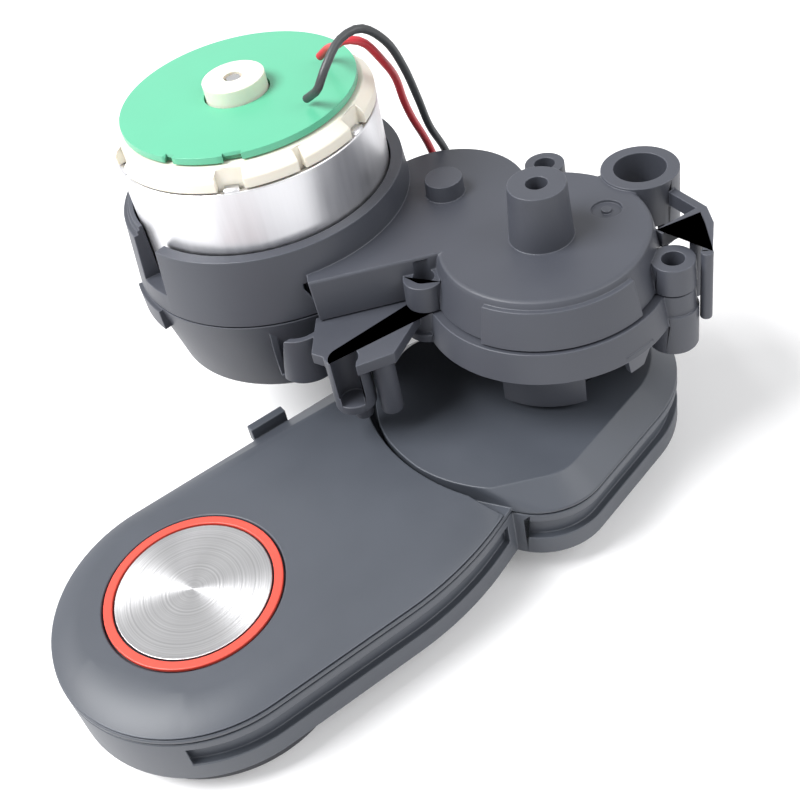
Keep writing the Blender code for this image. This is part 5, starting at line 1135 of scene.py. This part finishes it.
# Motor board
# A round board of glass-filled epoxy under a green mask. It sits on the end cap, and
# its pads, small parts and solder joints carry the leads' current to the brushes.
BOARD_RADIUS = CAN_RADIUS - 2.25 * MM
BOARD_NOTCHES = [(27.0, 1.6 * MM), (58.0, 2.8 * MM)]
BOARD_NOTCH_DEPTH = 0.8 * MM
board_profile = eased(
    [
        (ENDCAP_BOSS_RADIUS + CLEAR, BOARD_BOTTOM),
        (BOARD_RADIUS, BOARD_BOTTOM),
        (BOARD_RADIUS, PCB_TOP),
        (ENDCAP_BOSS_RADIUS + CLEAR, PCB_TOP),
    ],
    0.08 * MM,
    2,
)
board = turned(board_profile, MOTOR_AXIS)
cut(board, *[radial_slot(BOARD_RADIUS - BOARD_NOTCH_DEPTH, *notch) for notch in BOARD_NOTCHES])
board_green = pale_plastic("green solder mask", (0.10, 0.44, 0.27), 0.3, 0.0)
moulded(board, "motor_board_green", "case", "board_green", board_green, 0.0, "motor_board")

# Swinging arm, lower shell
# A black ABS tray under the belt with a sunk band round its side. The belt's bearings
# sit in its floor, and four screws from below hold it to the deck.
ARM_HALF_WIDTH = 22.3 * MM
WAIST_START = 46.0 * MM
WAIST_RADIUS = 52.0 * MM
WAIST_SWEEP = 27.5
HEAD_RADIUS = 19.2 * MM
HEAD_CORNER = (14.5 * MM, 12.5 * MM)
HEAD_CORNER_RADIUS = 10.8 * MM
SHELL_WALL = 2.6 * MM
SHELL_FLOOR = 1.5 * MM
BAND_BOTTOM = 3.6 * MM
BAND_TOP = 7.4 * MM
BAND_DEPTH = 1.2 * MM
BAND_START = 25.5 * MM
BAND_END = 81.0 * MM
SCREW_HEAD_RADIUS = 2.4 * MM
SCREW_HEAD_HEIGHT = 1.4 * MM
SCREW_RADIUS = 1.3 * MM
SCREW_LENGTH = 6.4 * MM
POST_RADIUS = 2.9 * MM
POST_BOTTOM = 3.7 * MM
SIDE_SCREWS_X = 38.0 * MM
HUB_JOURNAL_RADIUS = 7.6 * MM
OUTPUT_SHAFT_BOTTOM = 1.5 * MM
PULLEY_BOTTOM = 2.9 * MM
HUB_BUSH_BOTTOM = 0.7 * MM
BRUSH_AXIS = (BRUSH_REACH, 0.0)
SIDE_SCREWS_Y = 15.5 * MM
SCREW_PLACES = [
    (SIDE_SCREWS_X, SIDE_SCREWS_Y),
    (SIDE_SCREWS_X, -SIDE_SCREWS_Y),
    polar(16.5 * MM, 35.0, BRUSH_AXIS),
    polar(16.5 * MM, -35.0, BRUSH_AXIS),
]


def arm_outline(inset=0.0):
    """Plan outline of the arm from its head to round the brush axis."""
    half = ARM_HALF_WIDTH - inset
    waist_centre = (WAIST_START, ARM_HALF_WIDTH - WAIST_RADIUS)
    points = [(10 * MM, -half)]
    points += arc(BRUSH_AXIS, half, -90, 90, ARM_HALF_WIDTH)
    points += arc(waist_centre, WAIST_RADIUS - inset, 90, 90 + WAIST_SWEEP, WAIST_RADIUS)
    points.append((10 * MM, points[-1][1] - 4 * MM))
    return hull(points)


def head_outline(inset=0.0):
    """Plan outline of the arm's head round the pivot."""
    points = circle((0, 0), HEAD_RADIUS - inset, HEAD_RADIUS)
    for side in (1, -1):
        corner = (HEAD_CORNER[0], side * HEAD_CORNER[1])
        points += circle(corner, HEAD_CORNER_RADIUS - inset, HEAD_CORNER_RADIUS)
    return hull(points)


def arm_body(inset, bottom, top):
    """The arm's whole plan shape between two heights."""
    return join(prism(arm_outline(inset), bottom, top), prism(head_outline(inset), bottom, top))


arm_abs = black_abs("arm ABS", (0.056, 0.063, 0.078), 0.44)
shell = arm_body(0.0, 0.0, LOWER_SHELL_TOP)
band = cut(
    arm_body(-2 * MM, BAND_BOTTOM, BAND_TOP),
    arm_body(BAND_DEPTH, BAND_BOTTOM - MM, BAND_TOP + MM),
)
beyond = prism(rectangle(BAND_END, -30 * MM, 100 * MM, 30 * MM), 0, LOWER_SHELL_TOP)
neck = prism(rectangle(BAND_START - 2.5 * MM, -30 * MM, BAND_START, 30 * MM), 0, LOWER_SHELL_TOP)
cut(band, beyond, neck)
cut(shell, band, arm_body(SHELL_WALL, SHELL_FLOOR, LOWER_SHELL_TOP + MM))
bearing_seat = HUB_JOURNAL_RADIUS + RUNNING + BUSH_WALL + CLEAR
hub_wall = cylinder(BRUSH_AXIS, bearing_seat + 1.5 * MM, 0, PULLEY_BOTTOM - CLEAR)
pivot_wall = cylinder((0, 0), OUTPUT_SHAFT_RADIUS + 2.5 * MM, 0, PULLEY_BOTTOM - CLEAR)
collar_top = POST_BOTTOM - CLEAR
collars = [cylinder(place, SCREW_HEAD_RADIUS + 1.6 * MM, 0, collar_top) for place in SCREW_PLACES]
join(shell, hub_wall, pivot_wall, *collars)
stepped = [
    (0, -MM),
    (SCREW_HEAD_RADIUS + CLEAR, -MM),
    (SCREW_HEAD_RADIUS + CLEAR, SCREW_HEAD_HEIGHT + 2 * CLEAR),
    (SCREW_RADIUS + CLEAR, SCREW_HEAD_HEIGHT + 2 * CLEAR),
    (SCREW_RADIUS + CLEAR, 5 * MM),
    (0, 5 * MM),
]
holes = [turned(stepped, place, 3.0) for place in SCREW_PLACES]
cut(
    shell,
    cylinder(BRUSH_AXIS, bearing_seat, HUB_BUSH_BOTTOM - CLEAR, PULLEY_BOTTOM + MM),
    cylinder(BRUSH_AXIS, bearing_seat - MM, -MM, PULLEY_BOTTOM),
    cylinder((0, 0), OUTPUT_SHAFT_RADIUS + RUNNING, OUTPUT_SHAFT_BOTTOM - CLEAR, PULLEY_BOTTOM),
    *holes,
)
moulded(shell, "arm_shell", "arm", "black_arm", arm_abs, 0.2 * MM, "arm_lower_shell")

# Swinging arm, deck and mound
# The deck closes the tray, and its mound stands under the gear case and turns round
# the pivot stem. Its posts take the screws, and a small tab is moulded on its edge.
COVER_ARC_RADIUS = 31.5 * MM
MOUND_SLOPE = 3.9 * MM
NOSE_RADIUS = 22.0 * MM
NOSE_CENTRE = 9.0 * MM
NOSE_HALF_ANGLE = 42.0
TAB_START = 38.9 * MM
TAB_LENGTH = 6.7 * MM
TAB_REACH = 1.9 * MM
HUB_SPINDLE_RADIUS = 4.0 * MM
DECK_BOTTOM = LOWER_SHELL_TOP + CLEAR
DECK_TOP = DECK_BOTTOM + 0.8 * MM
COVER_BOTTOM = DECK_TOP + CLEAR
COVER_TOP = COVER_BOTTOM + 2.7 * MM


def mound_outline(inset):
    """Plan outline of the raised floor that the gear case stands over."""
    nose = arc((NOSE_CENTRE, 0), NOSE_RADIUS, -NOSE_HALF_ANGLE, NOSE_HALF_ANGLE)
    return hull(head_outline(inset) + nose)


def within(base, tool):
    """Keep only what lies inside the tool."""
    return boolean(base, "INTERSECT", [tool])


deck = prism(arm_outline(0.0), DECK_BOTTOM, DECK_TOP)
mound = layered(
    [
        (mound_outline(0.0), DECK_BOTTOM),
        (mound_outline(0.0), DECK_BOTTOM + 0.5 * MM),
        (mound_outline(MOUND_SLOPE), COVER_TOP),
    ]
)
within(mound, cylinder((0, 0), COVER_ARC_RADIUS - 0.6 * MM, 0, PARTING))
tab = prism(
    rectangle(
        TAB_START,
        -ARM_HALF_WIDTH - TAB_REACH,
        TAB_START + TAB_LENGTH,
        -ARM_HALF_WIDTH + MM,
    ),
    DECK_BOTTOM,
    DECK_TOP,
)
tab_wall = prism(
    rectangle(
        TAB_START,
        -ARM_HALF_WIDTH - TAB_REACH,
        TAB_START + TAB_LENGTH,
        -ARM_HALF_WIDTH - CLEAR,
    ),
    DECK_BOTTOM,
    COVER_TOP - 0.8 * MM,
)
posts = [cylinder(place, POST_RADIUS, POST_BOTTOM, DECK_TOP) for place in SCREW_PLACES]
join(deck, mound, tab, tab_wall, *posts)
skin = 1.5 * MM
hollow = layered(
    [
        (mound_outline(MOUND_SLOPE), DECK_BOTTOM - MM),
        (mound_outline(MOUND_SLOPE + 1.2 * MM), COVER_TOP - skin),
    ]
)
within(hollow, cylinder((0, 0), COVER_ARC_RADIUS - 2.2 * MM, 0, PARTING))
holes = [cylinder(place, SCREW_RADIUS + CLEAR, 0, SCREW_LENGTH + 2 * MM) for place in SCREW_PLACES]
cut(
    deck,
    hollow,
    cylinder((0, 0), STEM_RADIUS + RUNNING, 0, PARTING),
    cylinder(BRUSH_AXIS, HUB_SPINDLE_RADIUS + RUNNING + BUSH_WALL + CLEAR, 0, PARTING),
    *holes,
)
moulded(deck, "arm_deck", "arm", "black_arm", arm_abs, 0.2 * MM, "arm_upper_shell")

# Arm cover
# A thin bevelled plate of the same ABS, cut to an arc about the pivot and clipped on
# the deck. The decor disc sits in a round recess over the brush axis.
COVER_BEVEL = 5.3 * MM
COVER_SKIN = 1.3 * MM
DECOR_RADIUS = 13.4 * MM
DECOR_DISC_RADIUS = 11.75 * MM
DECOR_RECESS = 0.9 * MM
DECOR_THICKNESS = 0.6 * MM
cover = layered([(arm_outline(0.0), COVER_BOTTOM), (arm_outline(COVER_BEVEL), COVER_TOP)])
inner = layered(
    [
        (arm_outline(COVER_SKIN + MM), COVER_BOTTOM - MM),
        (arm_outline(COVER_BEVEL + COVER_SKIN), COVER_TOP - COVER_SKIN),
    ]
)
keep_web = cylinder((0, 0), COVER_ARC_RADIUS + COVER_SKIN, 0, PARTING)
decor_floor = COVER_TOP - DECOR_RECESS - 0.8 * MM
floor = cylinder(BRUSH_AXIS, DECOR_RADIUS + 1.4 * MM, decor_floor, COVER_TOP)
cut(inner, keep_web, floor)
cut(
    cover,
    inner,
    cylinder((0, 0), COVER_ARC_RADIUS, 0, PARTING),
    cylinder(BRUSH_AXIS, DECOR_RADIUS + CLEAR, COVER_TOP - DECOR_RECESS, PARTING),
)
moulded(cover, "arm_cover_plate", "arm", "black_arm", arm_abs, 0.25 * MM, "arm_cover")

# Decor ring and disc
# A red-orange plastic ring round a spun aluminium disc, both glued into the recess.
# The disc's turning marks are concentric, so its highlights fan out from the middle.
DISC_SEAT = COVER_TOP - DECOR_RECESS + CLEAR
ring_profile = eased(
    [
        (DECOR_DISC_RADIUS + CLEAR, DISC_SEAT),
        (DECOR_RADIUS, DISC_SEAT),
        (DECOR_RADIUS, DISC_SEAT + DECOR_THICKNESS + 0.1 * MM),
        (DECOR_DISC_RADIUS + CLEAR, DISC_SEAT + DECOR_THICKNESS + 0.1 * MM),
    ],
    0.18 * MM,
)
trim_ring = turned(ring_profile, BRUSH_AXIS)
red_plastic = pale_plastic("red trim plastic", (0.70, 0.075, 0.05), 0.34, 0.0)
moulded(trim_ring, "decor_ring_red", "arm", "red_trim", red_plastic, 0.0, "decor_ring")


def spun_aluminium():
    """Aluminium turned on a lathe: concentric lines that stretch its highlights."""
    made = bpy.data.materials.new("spun aluminium")
    made.use_nodes = True
    nodes, links = made.node_tree.nodes, made.node_tree.links
    shader = nodes["Principled BSDF"]
    shader.inputs["Metallic"].default_value = 1.0
    shader.inputs["Anisotropic"].default_value = 0.85
    place = nodes.new("ShaderNodeTexCoord")
    centre = nodes.new("ShaderNodeMapping")
    centre.inputs["Location"].default_value = (-BRUSH_REACH, 0.0, 0.0)
    flatten = nodes.new("ShaderNodeVectorMath")
    flatten.operation = "MULTIPLY"
    flatten.inputs[1].default_value = (1.0, 1.0, 0.0)
    radius = nodes.new("ShaderNodeVectorMath")
    radius.operation = "LENGTH"
    along = nodes.new("ShaderNodeVectorMath")
    along.operation = "CROSS_PRODUCT"
    along.inputs[0].default_value = (0.0, 0.0, 1.0)
    lines = nodes.new("ShaderNodeTexNoise")
    lines.noise_dimensions = "1D"
    lines.inputs["Scale"].default_value = 3600.0
    lines.inputs["Detail"].default_value = 3.0
    tone = nodes.new("ShaderNodeMix")
    tone.data_type = "RGBA"
    tone.inputs["A"].default_value = (0.36, 0.36, 0.37, 1.0)
    tone.inputs["B"].default_value = (0.66, 0.66, 0.67, 1.0)
    gloss = nodes.new("ShaderNodeMapRange")
    gloss.inputs["To Min"].default_value = 0.24
    gloss.inputs["To Max"].default_value = 0.40
    bump = nodes.new("ShaderNodeBump")
    bump.inputs["Strength"].default_value = 0.25
    bump.inputs["Distance"].default_value = 0.00002
    links.new(place.outputs["Object"], centre.inputs["Vector"])
    links.new(centre.outputs["Vector"], flatten.inputs[0])
    links.new(flatten.outputs["Vector"], radius.inputs[0])
    links.new(flatten.outputs["Vector"], along.inputs[1])
    links.new(radius.outputs["Value"], lines.inputs["W"])
    links.new(lines.outputs["Fac"], tone.inputs["Factor"])
    links.new(lines.outputs["Fac"], gloss.inputs["Value"])
    links.new(lines.outputs["Fac"], bump.inputs["Height"])
    links.new(tone.outputs["Result"], shader.inputs["Base Color"])
    links.new(gloss.outputs["Result"], shader.inputs["Roughness"])
    links.new(bump.outputs["Normal"], shader.inputs["Normal"])
    links.new(along.outputs["Vector"], shader.inputs["Tangent"])
    made.diffuse_color = (0.6, 0.6, 0.61, 1.0)
    return made


disc_profile = eased(
    [
        (0, DISC_SEAT),
        (DECOR_DISC_RADIUS, DISC_SEAT),
        (DECOR_DISC_RADIUS, DISC_SEAT + DECOR_THICKNESS),
        (0, DISC_SEAT + DECOR_THICKNESS),
    ],
    0.12 * MM,
)
disc = turned(disc_profile, BRUSH_AXIS)
moulded(disc, "decor_disc_spun", "arm", "spun_aluminium", spun_aluminium(), 0.0, "decor_disc")

# Belt drive
# Two white acetal pulleys and a toothed rubber belt, hidden between tray and deck. A
# spring-steel washer holds the arm on the pivot stem.
pulley_acetal = pale_plastic("pulley acetal", (0.82, 0.81, 0.77), 0.38, 0.15)
belt_rubber = black_abs("belt rubber", (0.02, 0.02, 0.02), 0.7)
spring_steel = plain_metal("spring steel", (0.52, 0.52, 0.54), 0.34, 600.0)
dress(pulley_acetal, "drive_pulley", "hub_pulley")
dress(belt_rubber, "drive_belt")
dress(spring_steel, "arm_retainer")

# Brush hub
# The turning hub that the side brush plugs into, black ABS, dished and ribbed below
# with a square socket. Its spindle runs in the bushes of the arm.
HUB_RADIUS = 20.4 * MM
HUB_DROP = 5.0 * MM
SOCKET_SIDE = 8.6 * MM
SOCKET_DEPTH = 6.0 * MM
HUB_DISH_INNER = 9.6 * MM
HUB_DISH_OUTER = 17.6 * MM
HUB_DISH_DEPTH = 2.6 * MM
HUB_RIBS = 6
HUB_RIB_WIDTH = 1.2 * MM
bottom = -HUB_DROP
rim = [
    (0, bottom + 0.4 * MM),
    (HUB_DISH_INNER, bottom + 0.4 * MM),
    (HUB_RADIUS - 1.0 * MM, bottom),
    (HUB_RADIUS, bottom + 1.2 * MM),
    (HUB_RADIUS - 0.7 * MM, -CLEAR),
    (HUB_JOURNAL_RADIUS, -CLEAR),
    (HUB_JOURNAL_RADIUS, PULLEY_BOTTOM - CLEAR),
    (HUB_SPINDLE_RADIUS, PULLEY_BOTTOM - CLEAR),
    (HUB_SPINDLE_RADIUS, DECK_TOP + 0.6 * MM),
    (0, DECK_TOP + 0.6 * MM),
]
hub = turned(rim, BRUSH_AXIS)
dish = ring(BRUSH_AXIS, HUB_DISH_INNER, HUB_DISH_OUTER, bottom - MM, bottom + HUB_DISH_DEPTH, 2.0)
spokes = []
for rib in range(HUB_RIBS):
    outer = polar(HUB_DISH_OUTER + MM, 360 * rib / HUB_RIBS, BRUSH_AXIS)
    spoke = bar(BRUSH_AXIS, outer, HUB_RIB_WIDTH)
    spokes.append(prism(spoke, bottom - 2 * MM, bottom + 2 * HUB_DISH_DEPTH))
cut(dish, *spokes)
half = SOCKET_SIDE / 2
socket = prism(
    rectangle(BRUSH_REACH - half, -half, BRUSH_REACH + half, half),
    bottom - MM,
    bottom + SOCKET_DEPTH,
)
cut(hub, dish, socket)
hub_abs = black_abs("hub ABS", (0.036, 0.038, 0.046), 0.5)
moulded(hub, "brush_hub_turned", "brush", "black_hub", hub_abs, 0.15 * MM, "brush_hub")

# Arm screws
# Four zinc-plated pan-head screws with cross recesses, driven from below.
screw_zinc = plain_metal("zinc-plated screw steel", (0.62, 0.62, 0.60), 0.3, 500.0)
dress(screw_zinc, "arm_screw_1", "arm_screw_2", "arm_screw_3", "arm_screw_4")

# Connector
# A small two-way housing of white nylon on the leads' far end, with a locking ridge.
connector_nylon = pale_plastic("connector nylon", (0.84, 0.83, 0.79), 0.36, 0.2)
dress(connector_nylon, "lead_plug")

# Floor and light
# A pale floor that keeps the soft shadow, under one broad soft lamp and a weaker one.
FLOOR_SIZE = 3.0


def studio_floor():
    """White floor whose colour turns plain white for the camera away from the part."""
    made = bpy.data.materials.new("floor")
    made.use_nodes = True
    nodes, links = made.node_tree.nodes, made.node_tree.links
    shader = nodes["Principled BSDF"]
    shader.inputs["Base Color"].default_value = (0.86, 0.86, 0.87, 1.0)
    shader.inputs["Roughness"].default_value = 0.9
    shader.inputs["Specular IOR Level"].default_value = 0.1
    path = nodes.new("ShaderNodeLightPath")
    seen = nodes.new("ShaderNodeMath")
    seen.operation = "MAXIMUM"
    seen_through = nodes.new("ShaderNodeMath")
    seen_through.operation = "MAXIMUM"
    place = nodes.new("ShaderNodeTexCoord")
    distance = nodes.new("ShaderNodeVectorMath")
    distance.operation = "LENGTH"
    far = nodes.new("ShaderNodeMapRange")
    far.inputs["From Min"].default_value = 0.14
    far.inputs["From Max"].default_value = 0.40
    far.inputs["To Min"].default_value = 0.0
    far.inputs["To Max"].default_value = 1.0
    glow = nodes.new("ShaderNodeEmission")
    glow.inputs["Color"].default_value = (1.0, 1.0, 1.0, 1.0)
    lift = nodes.new("ShaderNodeEmission")
    lift.inputs["Color"].default_value = (1.0, 1.0, 1.0, 1.0)
    lifted = nodes.new("ShaderNodeAddShader")
    lift_strength = nodes.new("ShaderNodeMath")
    lift_strength.operation = "MULTIPLY"
    lift_strength.inputs[1].default_value = 0.16
    blend = nodes.new("ShaderNodeMixShader")
    amount = nodes.new("ShaderNodeMath")
    amount.operation = "MULTIPLY"
    links.new(path.outputs["Is Camera Ray"], seen.inputs[0])
    links.new(path.outputs["Is Glossy Ray"], seen.inputs[1])
    links.new(seen.outputs["Value"], seen_through.inputs[0])
    links.new(path.outputs["Is Transmission Ray"], seen_through.inputs[1])
    links.new(place.outputs["Object"], distance.inputs[0])
    links.new(distance.outputs["Value"], far.inputs["Value"])
    links.new(far.outputs["Result"], amount.inputs[0])
    links.new(seen_through.outputs["Value"], amount.inputs[1])
    links.new(seen_through.outputs["Value"], lift_strength.inputs[0])
    links.new(lift_strength.outputs["Value"], lift.inputs["Strength"])
    links.new(shader.outputs["BSDF"], lifted.inputs[0])
    links.new(lift.outputs["Emission"], lifted.inputs[1])
    links.new(amount.outputs["Value"], blend.inputs["Fac"])
    links.new(lifted.outputs["Shader"], blend.inputs[1])
    links.new(glow.outputs["Emission"], blend.inputs[2])
    links.new(blend.outputs["Shader"], nodes["Material Output"].inputs["Surface"])
    return made


floor = prism(rectangle(-FLOOR_SIZE, -FLOOR_SIZE, FLOOR_SIZE, FLOOR_SIZE), -0.02, FLOOR_LEVEL * MM - 0.00003)
floor.name = "floor"
floor.data.materials.append(studio_floor())


def softbox(name, place, target, side, power):
    """A square soft lamp that faces a point."""
    light = bpy.data.lights.new(name, "AREA")
    light.shape = "SQUARE"
    light.size = side
    light.energy = power
    lamp = bpy.data.objects.new(name, light)
    lamp.location = place
    lamp.rotation_euler = (Vector(target) - Vector(place)).to_track_quat("-Z", "Y").to_euler()
    scene.collection.objects.link(lamp)
    return lamp


softbox("key softbox", (0.42, -0.16, 0.62), (0.03, -0.01, 0.02), 0.42, 9.0)
softbox("fill softbox", (-0.30, 0.45, 0.50), (0.03, -0.01, 0.02), 0.5, 2.5)

world = bpy.data.worlds.new("studio")
scene.world = world
world.use_nodes = True
nodes, links = world.node_tree.nodes, world.node_tree.links
background = nodes["Background"]
background.inputs["Color"].default_value = (1.0, 1.0, 1.0, 1.0)
path = nodes.new("ShaderNodeLightPath")
seen = nodes.new("ShaderNodeMath")
seen.operation = "MAXIMUM"
seen_through = nodes.new("ShaderNodeMath")
seen_through.operation = "MAXIMUM"
level = nodes.new("ShaderNodeMapRange")
level.inputs["To Min"].default_value = 0.42
level.inputs["To Max"].default_value = 1.0
links.new(path.outputs["Is Camera Ray"], seen.inputs[0])
links.new(path.outputs["Is Glossy Ray"], seen.inputs[1])
links.new(seen.outputs["Value"], seen_through.inputs[0])
links.new(path.outputs["Is Transmission Ray"], seen_through.inputs[1])
links.new(seen_through.outputs["Value"], level.inputs["Value"])
links.new(level.outputs["Result"], background.inputs["Strength"])
